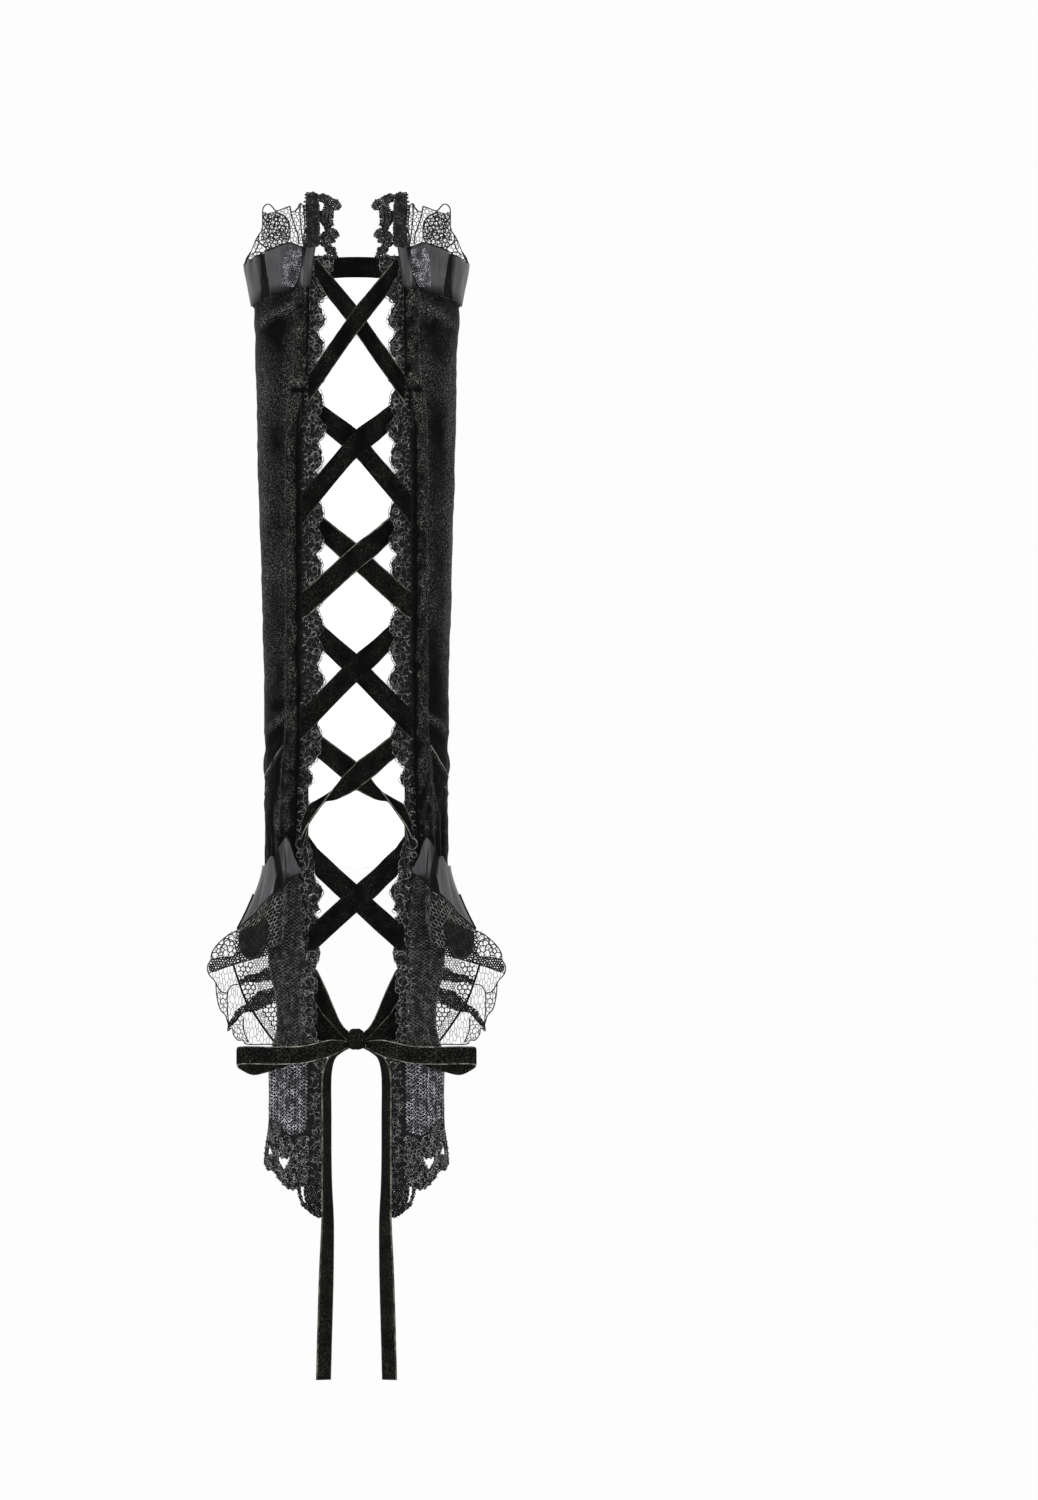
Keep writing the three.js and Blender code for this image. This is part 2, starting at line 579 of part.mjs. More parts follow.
function topLace() {
  const angles = topLaceAngles();
  const rows = TOP_LACE_ROWS.map((up) => angles.map((angle, j) => {
    const degrees = THREE.MathUtils.radToDeg(Math.min(angle, 2 * Math.PI - angle));
    const { tall, lean } = between(TOP_LACE, 'angle', degrees);
    const peak = up === 1 && j % 4 > 1 ? TOP_LACE_PEAK * tall : 0;
    const z = frontToBack(FRILL_EDGE, angle) + TOP_LACE_CLEAR + tall * up + peak;
    return roundArm(angle, z, frillLevel(angle, 1) - lean * up);
  }));
  const lastHole = 2 * TOP_LACE_HOLES;
  const isOpen = (row, column) => {
    const fromEnd = Math.min(column, angles.length - 2 - column);
    return row % 2 === 1 && fromEnd % 2 === 1 && fromEnd < lastHole;
  };
  return piece('top_lace', cloth(rows, LACE, isOpen), FINISH.net);
}

// A point of the flounce, at an angle round from the front and a part of the way down to its hem
function onFlounce(side, degrees, down, below = 0, bulge = 0) {
  const { seam, drop, flare, wave } = between(FLOUNCE, 'angle', degrees);
  const outward = down ** FLOUNCE_CURVE * (flare + wave);
  const level = CLEAR + SATIN / 2 + FLOUNCE_SEAM_RISE + outward + bulge;
  return roundArm(side * THREE.MathUtils.degToRad(degrees), seam - drop * down - below, level);
}

function flounce(side) {
  return parts(FLOUNCE_ROWS).map((down) => FLOUNCE.map(({ angle }) => onFlounce(side, angle, down)));
}

function tier(side) {
  return parts(TIER_ROWS).map((down) => TIER.map(({ angle, drop, bulge }) =>
    onFlounce(side, angle, 1, TIER_CLEAR + drop * down, bulge * down)));
}

// One rib of the fan: where it is sewn on, just outside the hand panel's edge, and its tip
function fanRib(side, { root, tipOut, tipY, tipZ }) {
  const { outer } = between(HAND_PANEL, 'z', root);
  const beside = FAN_SEAM / between(FORM, 'z', root).halfDepth;
  return {
    sewn: roundArm(side * (angleAcross(outer, root) + beside), root, HAND_LEVEL),
    tip: new THREE.Vector3(side * tipOut, tipY, tipZ),
  };
}

// The fan's ribs are doubled into bars, so that the net's holes lie between them
function fan(side) {
  const ribs = [];
  for (let rib = 0; rib < FAN.length - 1; rib += 1) {
    const bar = FAN[rib].root + (FAN[rib + 1].root - FAN[rib].root) * FAN_RIB_BAR;
    ribs.push(fanRib(side, FAN[rib]), fanRib(side, between(FAN, 'root', bar)));
  }
  ribs.push(fanRib(side, FAN[FAN.length - 1]));
  return FAN_ROWS.map((outward) => ribs.map(({ sewn, tip }) => sewn.clone().lerp(tip, outward)));
}

function fanIsOpen(row, rib) {
  return row % 2 === 1 && rib % 2 === 1 && rib < 2 * FAN.length - 3;
}

function handPanel(side) {
  const place = ({ outer, inner }, part, z) =>
    onFront(side * (outer + (inner - outer) * part), z, HAND_LEVEL);
  const rows = HAND_PANEL.map((row) => HEM.map(({ part }) => place(row, part, row.z)));
  const last = HAND_PANEL[HAND_PANEL.length - 1];
  for (const down of parts(HEM_ROWS).slice(1)) {
    rows.push(HEM.map((hem) => place(last, hem.part, last.z + (hem.z - last.z) * down)));
  }
  return rows;
}

function handPanelIsOpen(row, column) {
  const hemRow = row - (HAND_PANEL.length - 1);
  return HEM_CUTS.some((cut) => cut.row === hemRow && cut.column === column);
}

// One station of ribbon: its two edges, one above the other
function ribbonStation(across, z, level, height) {
  return [onFront(across, z + height / 2, level), onFront(across, z - height / 2, level)];
}

// A ribbon's turn through the edging, from the level it has in front to the one behind
function turnThrough(side, turn, z, drop, height) {
  return TURN_STEPS.map((part) => {
    const bend = Math.PI * part;
    const level = (FRONT_LEVEL + BACK_LEVEL) / 2 + TURN_RADIUS * Math.cos(bend);
    const out = turn - TURN_RADIUS + TURN_RADIUS * Math.sin(bend);
    return ribbonStation(side * out, z - drop * (part - 0.5), level, height);
  });
}

// A strand from its upper end on one side, through the crossing, to its lower turn on the other.
// The right-hand strand lies on top. The first pair joins the bar, so it starts further in
function strand(side, row, next) {
  const { upper, cross, lower, pinch } = row;
  const { turn } = between(FRONT_EDGE, 'z', lower);
  const start = STRAND_LEVELS[0].across;
  const isFirst = row === LACING[0];
  const onTop = isFirst ? 'firstOver' : 'over';
  const below = isFirst ? 'firstUnder' : 'under';
  const heightAt = (across) => {
    const upward = Math.max(across, 0) / start;
    const pinched = pinch * Math.exp(-(((across - PINCH.across) / PINCH.spread) ** 2));
    return (STRAND_HEIGHT + (UPPER_HEIGHT - STRAND_HEIGHT) * upward) * (1 - pinched);
  };
  // The parabola through the strand's upper end, its crossing and its turn
  const centreAt = (across) => {
    const rise = (upper - cross) / start;
    const fall = (lower - cross) / -turn;
    const bend = (rise - fall) / (start + turn);
    return cross + across * (rise + bend * (across - start));
  };
  const place = (across, level) =>
    ribbonStation(side * across, centreAt(across), level, heightAt(across));
  const stations = STRAND_LEVELS.slice(isFirst ? 1 : 0).map((levels) =>
    place(levels.across, levels[side > 0 ? onTop : below]));
  stations.push(place(TURN_LEAD - turn, FRONT_LEVEL));
  const drop = Math.min(TURN_DROP, (lower - next) * 0.4);
  stations.push(...turnThrough(-side, turn, lower, drop, STRAND_HEIGHT));
  return stations;
}

// One side's zigzag: from its end of the bar down to the knot
function zigzag(start) {
  const stations = [];
  let side = start;
  LACING.forEach((row, k) => {
    const next = k + 1 < LACING.length ? LACING[k + 1].upper : TO_KNOT[0].z;
    stations.push(...strand(side, row, next));
    side = -side;
  });
  for (const { out, z, level, height } of TO_KNOT) {
    stations.push(ribbonStation(side * out, z, level, height));
  }
  return stations;
}

function lacingRibbon() {
  const barZ = LACING[0].upper;
  const { turn } = between(FRONT_EDGE, 'z', barZ);
  const endOfBar = (side) => turnThrough(side, turn, barZ, 0, RIBBON_WIDTH);
  const bar = [-1, -0.7, -0.3, 0, 0.3, 0.7, 1].map((part) => {
    const crown = 1 - part ** 2;
    const level = BACK_LEVEL + BAR.rise * crown;
    return ribbonStation(BAR.reach * part, barZ + BAR.arch * crown, level, RIBBON_WIDTH);
  });
  const stations = [
    ...zigzag(-1).reverse(),
    ...endOfBar(-1),
    ...bar,
    ...endOfBar(1).reverse(),
    ...zigzag(1),
  ];
  return piece('lacing_ribbon', cloth(stations, RIBBON), FINISH.velvetRibbon);
}

function bowKnot() {
  const geometry = new THREE.SphereGeometry(1, 12, 8);
  geometry.scale(KNOT.halfWidth, KNOT.halfDepth, KNOT.halfHeight);
  const mesh = piece('bow_knot', geometry, FINISH.velvetRibbon);
  mesh.position.set(0, KNOT.y, KNOT.z);
  return mesh;
}

function bowLoop(side) {
  return BOW_LOOP.map(({ out, y, z, height }) => [
    new THREE.Vector3(side * out, y, z + height / 2),
    new THREE.Vector3(side * out, y, z - height / 2),
  ]);
}

// A tail hangs with its width turned part way to the side, and is gathered where it leaves the knot
function bowTail(side) {
  const turn = THREE.MathUtils.degToRad(TAIL_TURN);
  const half = new THREE.Vector3(side * Math.cos(turn), -Math.sin(turn), 0);
  half.multiplyScalar(RIBBON_WIDTH / 2);
  return BOW_TAIL.map(({ out, y, z, gather }) => {
    const middle = new THREE.Vector3(side * out, y, z);
    return [
      middle.clone().addScaledVector(half, -gather),
      middle.clone().addScaledVector(half, gather),
    ];
  });
}

const armWarmer = new THREE.Group();
armWarmer.add(
  sleeve(),
  ...pair('placket', placket, PLACKET_THICK, FINISH.velvet),
  ...pair('edging', edging, CROCHET, FINISH.crochet, edgingIsOpen),
  ...pair('tab', frontBand(TAB, TAB_LEVEL), TAB_THICK, FINISH.crochet),
  ...pair('binding', frontBand(BINDING, TAB_LEVEL), TAB_THICK, FINISH.satin),
  topFrill(),
  topLace(),
  ...pair('flounce', flounce, SATIN, FINISH.satin),
  ...pair('tier', tier, LACE, FINISH.net),
  ...pair('fan', fan, LACE, FINISH.net, fanIsOpen),
  ...pair('hand_panel', handPanel, LACE, FINISH.fineLace, handPanelIsOpen),
  lacingRibbon(),
  bowKnot(),
  ...pair('bow_loop', bowLoop, RIBBON, FINISH.velvetRibbon),
  ...pair('bow_tail', bowTail, RIBBON, FINISH.velvetRibbon),
);

export default armWarmer;
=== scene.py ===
"""A lace-up velvet arm warmer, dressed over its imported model.

Sizes are millimetres until a mesh is made. Z runs up the arm, X across it, and the laced front
faces -Y. Left and right pieces mirror each other, so each is described for one side by "out", its
distance from the middle of the front, and made for both.
"""
import math

import bpy
import numpy as np
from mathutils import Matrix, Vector
from mathutils.geometry import delaunay_2d_cdt


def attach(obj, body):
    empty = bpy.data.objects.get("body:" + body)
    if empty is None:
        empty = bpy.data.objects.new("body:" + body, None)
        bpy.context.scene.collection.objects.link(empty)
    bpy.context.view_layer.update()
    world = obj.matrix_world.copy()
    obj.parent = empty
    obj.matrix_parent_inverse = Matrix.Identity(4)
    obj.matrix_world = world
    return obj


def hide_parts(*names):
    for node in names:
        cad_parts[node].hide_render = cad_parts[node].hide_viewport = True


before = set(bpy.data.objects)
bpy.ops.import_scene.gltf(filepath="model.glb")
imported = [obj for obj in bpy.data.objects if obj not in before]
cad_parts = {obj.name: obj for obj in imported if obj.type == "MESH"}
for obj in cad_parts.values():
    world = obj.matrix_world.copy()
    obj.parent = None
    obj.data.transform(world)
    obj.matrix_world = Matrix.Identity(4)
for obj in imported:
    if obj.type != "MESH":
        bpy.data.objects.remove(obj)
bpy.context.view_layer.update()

MM = 0.001
LEFT, RIGHT = -1, 1
SIDES = {LEFT: "left", RIGHT: "right"}


# Tables and curves

def table(columns, *rows):
    """A short table as one array for each named column, in rising order of the first."""
    values = np.array(sorted(rows), float)
    return dict(zip(columns.split(), values.T))


def between(made, value, *names):
    """Straight-line values between a table's rows, for one or more columns."""
    keys = next(iter(made.values()))
    found = [np.interp(value, keys, made[name]) for name in names]
    return found[0] if len(found) == 1 else found


def curve(t, start, slope, end, end_slope, gap=1.0):
    """A smooth curve's value at t, that goes from 0 at its start to 1 at its end."""
    return (
        (1 + 2 * t) * (1 - t) ** 2 * start
        + t * (1 - t) ** 2 * gap * slope
        + t * t * (3 - 2 * t) * end
        + t * t * (t - 1) * gap * end_slope)


def eased(made, value, *names):
    """Values between a table's rows on a smooth curve through them, for one or more columns."""
    keys = next(iter(made.values()))
    value = np.clip(value, keys[0], keys[-1])
    at = np.clip(np.searchsorted(keys, value) - 1, 0, len(keys) - 2)
    gap = keys[at + 1] - keys[at]
    t = (value - keys[at]) / gap
    found = []
    for name in names:
        heights = made[name]
        slopes = np.gradient(heights, keys)
        found.append(curve(t, heights[at], slopes[at], heights[at + 1], slopes[at + 1], gap))
    return found[0] if len(found) == 1 else found


def smoothed(points, steps):
    """A smooth line through given points, with so many steps between each two."""
    points = np.asarray(points, float)
    slopes = np.gradient(points, axis=0)
    t = np.linspace(0, 1, steps, endpoint=False)[:, None]
    spans = zip(points, slopes, points[1:], slopes[1:])
    return np.vstack([curve(t, *span) for span in spans] + [points[-1:]])


def run_along(line):
    """How far along a line each of its points is."""
    return np.concatenate([[0], np.cumsum(np.linalg.norm(np.diff(line, axis=0), axis=1))])


def evenly(line, step):
    """The same line with its points a step apart."""
    run = run_along(line)
    count = max(2, int(round(run[-1] / step)) + 1)
    marks = np.linspace(0, run[-1], count)
    return np.column_stack([np.interp(marks, run, line[:, k]) for k in range(line.shape[1])])


def hump(value, middle, width):
    """1 at the middle, falling off on both sides."""
    return np.exp(-(((value - middle) / width) ** 2))


def ramp(value, start, end):
    """0 before the start and 1 past the end, whichever of them is higher."""
    return np.clip((value - start) / (end - start), 0, 1)


def unit(vectors):
    return vectors / (np.linalg.norm(vectors, axis=-1, keepdims=True) + 1e-12)


def top_to_bottom(made, count):
    """Heights for a grid's rows, from the top of a table to its bottom."""
    return np.linspace(made["z"][-1], made["z"][0], count)[:, None]


def ripples(u, v, size, seed, waves=7):
    """A smooth random field of about -1 to 1, whose humps are about "size" mm apart."""
    draw = np.random.default_rng(seed)
    total = 0
    for _ in range(waves):
        turn = draw.uniform(0, 2 * math.pi)
        pitch = size * draw.uniform(0.7, 1.5)
        start = draw.uniform(0, 2 * math.pi)
        total = total + np.sin((u * math.cos(turn) + v * math.sin(turn)) * 2 * math.pi / pitch + start)
    return total / math.sqrt(waves)


# The arm's oval that the cloth follows

FORM = table(
    "z half_width half_depth",
    (290, 47.6, 33.4), (256, 47.4, 33.4), (235, 47.1, 33.2), (201, 46.2, 32.6),
    (146, 45.0, 31.4), (106, 43.8, 30.2), (72, 42.7, 29.2), (37, 42.5, 28.4),
    (0, 42.0, 27.8), (-60, 42.0, 27.0), (-120, 43.0, 26.5), (-190, 44.0, 26.0))
CLEAR = 0.35


def round_arm(angle, z, level):
    """Points at an angle round from the front, a height, and a level above the arm's oval."""
    half_width, half_depth = eased(FORM, z, "half_width", "half_depth")
    x = (half_width + level) * np.sin(angle)
    y = -(half_depth + level) * np.cos(angle)
    return np.stack(np.broadcast_arrays(x, y, z), axis=-1)


def angle_across(out, z):
    return np.arcsin(np.clip(out / eased(FORM, z, "half_width"), -1, 1))


def on_front(across, z, level):
    return round_arm(angle_across(across, z), z, level)


def frontness(angle):
    """1 at the front and 0 at the back."""
    return ((1 + np.cos(angle)) / 2) ** 1.5


# Meshes

def new_piece(name, vertices, faces, materials, painted=None, flat=None, marks=None):
    """A mesh object, from millimetres, that rides with the arm warmer.

    "marks" holds numbers for each point, which a material reads by their name.
    """
    mesh = bpy.data.meshes.new(name)
    mesh.from_pydata((np.asarray(vertices) * MM).tolist(), [], faces)
    for material in materials:
        mesh.materials.append(material)
    if painted is not None:
        mesh.polygons.foreach_set("material_index", painted)
    smooth = np.ones(len(faces), bool) if flat is None else ~np.asarray(flat)
    mesh.polygons.foreach_set("use_smooth", smooth)
    for mark, values in (marks or {}).items():
        mesh.attributes.new(mark, "FLOAT", "POINT").data.foreach_set("value", values)
    mesh.update()
    piece = bpy.data.objects.new(name, mesh)
    bpy.context.scene.collection.objects.link(piece)
    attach(piece, "root")
    return piece


def cloth(name, grid, thickness, materials,
          is_open=None, towards=None, paint=None, marks=None):
    """A closed sheet round a grid of points, as thick as it says, with some cells left open.

    The first material is on its outer face and rim and the last on its inner face. "towards" is
    the outer face's direction, and without it that face looks away from the arm's axis. "paint"
    gives a material's place for the outer face of a column, and "marks" has a grid of numbers
    for each name.
    """
    grid = np.asarray(grid, float)
    high, wide, _ = grid.shape
    normal = unit(np.cross(np.gradient(grid, axis=1), np.gradient(grid, axis=0)))
    outward = grid * (1, 1, 0) if towards is None else np.asarray(towards, float)
    turned = (normal * outward).sum() < 0
    if turned:
        normal = -normal
    half = (np.asarray(thickness, float) / 2)[..., None] if np.ndim(thickness) else thickness / 2
    faces_of_cloth = [(grid + normal * half).reshape(-1, 3), (grid - normal * half).reshape(-1, 3)]
    vertices = np.concatenate(faces_of_cloth)
    shape = (high - 1, wide - 1)
    present = np.ones(shape, bool)
    if is_open is not None:
        present = ~np.array([[is_open(i, j) for j in range(wide - 1)] for i in range(high - 1)])
    under = high * wide
    faces, painted, flat = [], [], []

    def add(corners, material, is_flat):
        faces.append(corners[::-1] if turned else corners)
        painted.append(material)
        flat.append(is_flat)

    def at(i, j):
        return 0 <= i < shape[0] and 0 <= j < shape[1] and present[i, j]

    last = len(materials) - 1
    for i in range(shape[0]):
        for j in range(shape[1]):
            if not present[i, j]:
                continue
            a, b = i * wide + j, i * wide + j + 1
            d, c = a + wide, b + wide
            outer = paint(j) if paint else 0
            add([a, b, c, d], outer, False)
            add([d + under, c + under, b + under, a + under], last, False)
            beside = (((i - 1, j), a, b), ((i, j + 1), b, c), ((i + 1, j), c, d), ((i, j - 1), d, a))
            for near, one, two in beside:
                if not at(*near):
                    add([two, one, one + under, two + under], outer, True)
    used = np.unique(np.concatenate([np.array(face) for face in faces]))
    order = np.full(len(vertices), -1)
    order[used] = np.arange(len(used))
    faces = [[int(order[v]) for v in face] for face in faces]
    kept_marks = {}
    for mark, values in (marks or {}).items():
        values = np.broadcast_to(values, (high, wide)).ravel()
        kept_marks[mark] = np.concatenate([values, values])[used].astype(np.float32)
    return new_piece(name, vertices[used], faces, materials, painted, flat, kept_marks)


def threads(name, lines, radius, material, sides=4, outward=None):
    """Joined tubes along lines of points, each closed at both ends.

    "outward" gives the direction that a tube's section is set by, for points on a flat piece.
    """
    vertices, faces = [], []
    start = 0
    groups = {}
    for line in lines:
        groups.setdefault(len(line), []).append(line)
    for count, group in groups.items():
        paths = np.asarray(group, float)
        ahead = unit(np.gradient(paths, axis=1))
        up = paths * (1, 1, 0)
        if outward is not None:
            up = np.broadcast_to(outward, paths.shape).astype(float)
        side = unit(np.cross(ahead, up))
        up = np.cross(side, ahead)
        ring = [radius * (math.cos(a) * side + math.sin(a) * up)
                for a in np.arange(sides) * 2 * math.pi / sides + math.pi / 4]
        tubes = np.stack([paths + offset for offset in ring], axis=2)
        vertices.append(tubes.reshape(-1, 3))
        m = len(group)
        first = start + (np.arange(m)[:, None] * count + np.arange(count)) * sides
        here, there = first[:, :-1].ravel(), first[:, 1:].ravel()
        for k in range(sides):
            n = (k + 1) % sides
            faces.append(np.stack([here + k, here + n, there + n, there + k], axis=1))
        caps = np.arange(sides)
        faces.append(first[:, 0][:, None] + caps[::-1])
        faces.append(first[:, -1][:, None] + caps)
        start += m * count * sides
    all_faces = [face for block in faces for face in block.tolist()]
    return new_piece(name, np.concatenate(vertices), all_faces, [material])


def joined(name, pieces):
    """Several pieces as one, with all their materials."""
    with bpy.context.temp_override(
            active_object=pieces[0], object=pieces[0], selected_editable_objects=pieces,
            selected_objects=pieces):
        bpy.ops.object.join()
    pieces[0].name = name
    pieces[0].data.name = name
    return pieces[0]


# Materials

def linear(hex_text):
    """An sRGB hex colour as linear red, green, blue and alpha."""
    parts = [int(hex_text[k:k + 2], 16) / 255 for k in (0, 2, 4)]
    return [p / 12.92 if p <= 0.04045 else ((p + 0.055) / 1.055) ** 2.4 for p in parts] + [1.0]


def add_node(tree, kind, inputs=(), **settings):
    """Adds a node with its settings; an input is a value or a socket to link."""
    made = tree.nodes.new(kind)
    for name, value in settings.items():
        setattr(made, name, value)
    for name, value in dict(inputs).items():
        socket = made.inputs[name]
        if isinstance(value, bpy.types.NodeSocket):
            tree.links.new(value, socket)
        else:
            socket.default_value = value
    return made


def material(name, **sockets):
    """A new material: its node tree, its shader and the place that patterns are read at."""
    made = bpy.data.materials.new(name)
    made.use_nodes = True
    tree = made.node_tree
    shader = tree.nodes["Principled BSDF"]
    for socket, value in sockets.items():
        shader.inputs[socket.replace("_", " ")].default_value = value
    place = add_node(tree, "ShaderNodeTexCoord").outputs["Object"]
    return made, tree, shader, place


def pattern_size(size_mm):
    """A texture's scale for a pattern whose humps are so many millimetres apart."""
    return 1 / (size_mm * MM)


def surface(tree, shader, shade, dark, light, relief=None, strength=0.0, depth_mm=0.0):
    """Colours a shader from dark to light by a shade, and raises it by a relief."""
    tones = add_node(tree, "ShaderNodeMix", {
        "Factor": shade, 6: linear(dark), 7: linear(light)}, data_type="RGBA")
    tree.links.new(tones.outputs[2], shader.inputs["Base Color"])
    if relief:
        bump = add_node(tree, "ShaderNodeBump", {
            "Height": relief, "Strength": strength, "Distance": depth_mm * MM})
        tree.links.new(bump.outputs["Normal"], shader.inputs["Normal"])


def velvet(name, dark, light, brushed_mm, sheen):
    """Short dense cut pile: near black face on, with a pale bloom where it is seen along the
    pile. Its tufts are drawn about 0.6 mm apart, coarser than the real ones, so that they show."""
    made, tree, shader, place = material(
        name, Roughness=0.85, Sheen_Weight=sheen, Sheen_Roughness=0.35,
        Sheen_Tint=linear("C9C9D0"), Specular_IOR_Level=0.02)
    grain = add_node(tree, "ShaderNodeTexNoise", {
        "Vector": place, "Scale": pattern_size(0.6), "Detail": 3.0, "Roughness": 0.8})
    brushed = add_node(tree, "ShaderNodeTexNoise", {
        "Vector": place, "Scale": pattern_size(brushed_mm), "Detail": 3.0})
    tufts = add_node(tree, "ShaderNodeMapRange", {
        "Value": grain.outputs["Fac"], "From Min": 0.53, "From Max": 0.62})
    cloudy = add_node(tree, "ShaderNodeMapRange", {
        "Value": brushed.outputs["Fac"], "From Min": 0.3, "From Max": 0.72,
        "To Min": 0.02, "To Max": 0.22})
    # The "pile" mark is mostly painted light: painted highlights and painted shade that each piece lays
    # along its creases, folds and edges.
    pressed = add_node(tree, "ShaderNodeAttribute", attribute_name="pile")
    lie = add_node(tree, "ShaderNodeMath", {
        0: pressed.outputs["Fac"], 1: 0.22, 2: cloudy.outputs["Result"]},
        operation="MULTIPLY_ADD", use_clamp=True)
    both = add_node(tree, "ShaderNodeMath", {
        0: tufts.outputs["Result"], 1: lie.outputs["Value"]}, operation="MULTIPLY")
    surface(tree, shader, both.outputs["Value"], dark, light, grain.outputs["Fac"], 0.5, 0.3)
    return made


def knit_backing():
    """Brushed tricot backing: pale, soft and even, with faint mottling under a millimetre wide."""
    made, tree, shader, place = material(
        "brushed_tricot_backing", Roughness=0.95, Sheen_Weight=0.2, Specular_IOR_Level=0.1)
    mottled = add_node(tree, "ShaderNodeTexNoise", {
        "Vector": place, "Scale": pattern_size(0.9), "Detail": 1.0})
    surface(tree, shader, mottled.outputs["Fac"], "F0F0F1", "FBFBFB")
    return made


def satin(name, dark, light):
    """Woven polyester satin: long floats give a soft directional gloss, with faint cross threads
    about 0.5 mm apart, drawn coarser than the real ones."""
    made, tree, shader, place = material(
        name, Roughness=0.42, Sheen_Weight=0.05, Sheen_Roughness=0.4)
    stretched = add_node(tree, "ShaderNodeMapping", {"Vector": place, "Scale": (1.0, 1.0, 0.12)})
    floats = add_node(tree, "ShaderNodeTexNoise", {
        "Vector": stretched.outputs["Vector"], "Scale": pattern_size(1.2), "Detail": 3.0})
    # The "shade" mark is painted shade: it darkens the satin and takes away its gloss in folds and
    # recesses, beside other parts and where it turns away from the light.
    creased = add_node(tree, "ShaderNodeAttribute", attribute_name="shade")
    bright = add_node(tree, "ShaderNodeMath", {
        0: floats.outputs["Fac"], 1: creased.outputs["Fac"]}, operation="SUBTRACT", use_clamp=True)
    gloss = add_node(tree, "ShaderNodeMapRange", {
        "Value": creased.outputs["Fac"], "From Min": 0.0, "From Max": 0.7,
        "To Min": 0.24, "To Max": 0.01})
    tree.links.new(gloss.outputs["Result"], shader.inputs["Specular IOR Level"])
    weave = add_node(tree, "ShaderNodeTexNoise", {
        "Vector": place, "Scale": pattern_size(0.5), "Detail": 1.0})
    surface(tree, shader, bright.outputs["Value"], dark, light, weave.outputs["Fac"], 0.15, 0.1)
    return made


def yarn(name, dark, light, twist_mm, clump_mm, sheen=0.05, darkest=0.25):
    """Twisted cotton or polyester thread: matt, with its plies catching a little light, and
    longer stretches that turn to the light or away from it. A low "darkest" leaves only the
    short highlights."""
    made, tree, shader, place = material(
        name, Roughness=0.7, Sheen_Weight=sheen, Sheen_Roughness=0.4, Specular_IOR_Level=0.05)
    plies = add_node(tree, "ShaderNodeTexNoise", {
        "Vector": place, "Scale": pattern_size(twist_mm), "Detail": 2.0, "Roughness": 0.7})
    stretches = add_node(tree, "ShaderNodeTexNoise", {
        "Vector": place, "Scale": pattern_size(clump_mm), "Detail": 2.0})
    twisted = add_node(tree, "ShaderNodeMapRange", {
        "Value": plies.outputs["Fac"], "From Min": 0.35 + 0.5 * (0.25 - darkest),
        "From Max": 0.65, "To Min": darkest})
    turned = add_node(tree, "ShaderNodeMapRange", {
        "Value": stretches.outputs["Fac"], "From Min": 0.38, "From Max": 0.66, "To Min": 0.12})
    lit = add_node(tree, "ShaderNodeMath", {
        0: twisted.outputs["Result"], 1: turned.outputs["Result"]}, operation="MULTIPLY")
    surface(tree, shader, lit.outputs["Value"], dark, light, plies.outputs["Fac"], 0.4, 0.15)
    return made


def painted_floor():
    """Smooth matt white paint."""
    made, tree, shader, place = material("matt_white_floor", Roughness=0.9, Specular_IOR_Level=0.1)
    speckle = add_node(tree, "ShaderNodeTexNoise", {"Vector": place, "Scale": 3.0})
    surface(tree, shader, speckle.outputs["Fac"], "FAFAFA", "FDFDFD")
    return made


SLEEVE_VELVET = velvet("polyester_velvet", "030303", "949490", 21, 0.05)
BAND_VELVET = velvet("ruched_velvet", "030303", "92928C", 9, 0.05)
RIBBON_VELVET = velvet("velvet_ribbon_pile", "020202", "44443E", 6, 0.01)
BACKING = knit_backing()
GREY_SATIN = satin("grey_satin", "080809", "302F32")
CROCHET_THREAD = yarn("cotton_crochet", "040404", "8A8A88", 0.45, 3.0, 0.03, 0.03)
CROCHET_GROUND = yarn("crochet_ground", "030303", "111111", 0.6, 3.0, 0.02)
ROPE_THREAD = yarn("crochet_rope", "040404", "5E5E60", 0.5, 2.4, 0.03, 0.06)
TAB_THREAD = yarn("dense_crochet", "040404", "3C3C3D", 0.5, 2.2, 0.03, 0.1)
MASS_THREAD = yarn("crochet_core", "030303", "141415", 0.8, 2.2, 0.02)
NET_THREAD = yarn("lace_net_thread", "050506", "1C1C1E", 0.5, 3.0, 0.02)
LACE_THREAD = yarn("fine_lace_thread", "08080A", "C4C4CC", 0.5, 3.4, 0.05, 0.06)
SHADED_LACE = yarn("shaded_lace_thread", "050505", "5C5C5A", 0.5, 3.0, 0.03, 0.1)
TIER_LACE = yarn("honeycomb_lace_thread", "060606", "7C7C78", 0.9, 2.6, 0.03, 0.2)
# A darker copy of the lace thread for the folded part: painted shade.
FOLDED_SHADED_LACE = yarn("folded_shaded_lace_thread", "040404", "2E2E2A", 0.5, 3.0, 0.02, 0.1)
HEM_THREAD = yarn("hem_crochet_thread", "050505", "A0A0A0", 0.5, 2.4, 0.04, 0.02)
LACE_GROUND = yarn("fine_lace_ground", "030303", "0D0D0E", 0.7, 4.0, 0.02)
CORD_THREAD = yarn("gimp_cord", "020202", "0C0C0C", 0.5, 3.0, 0.02)
SELVEDGE = yarn("woven_selvedge", "0C0C0C", "585850", 0.6, 3.5, 0.04)
BOW_SELVEDGE = yarn("brushed_selvedge", "181816", "7A7A72", 0.6, 3.5, 0.06)
STITCH = yarn("sewing_thread", "121213", "5A5A5A", 1.0, 3.0, 0.05)
FLOOR_PAINT = painted_floor()


# Camera

PHOTO_HIGH = 690.0
VIEW_CENTRE = Vector((0.0, -28.0, 32.2))
OFF_CENTRE = 74.75
CAMERA_BACK = 9000.0
SENSOR = 36.0

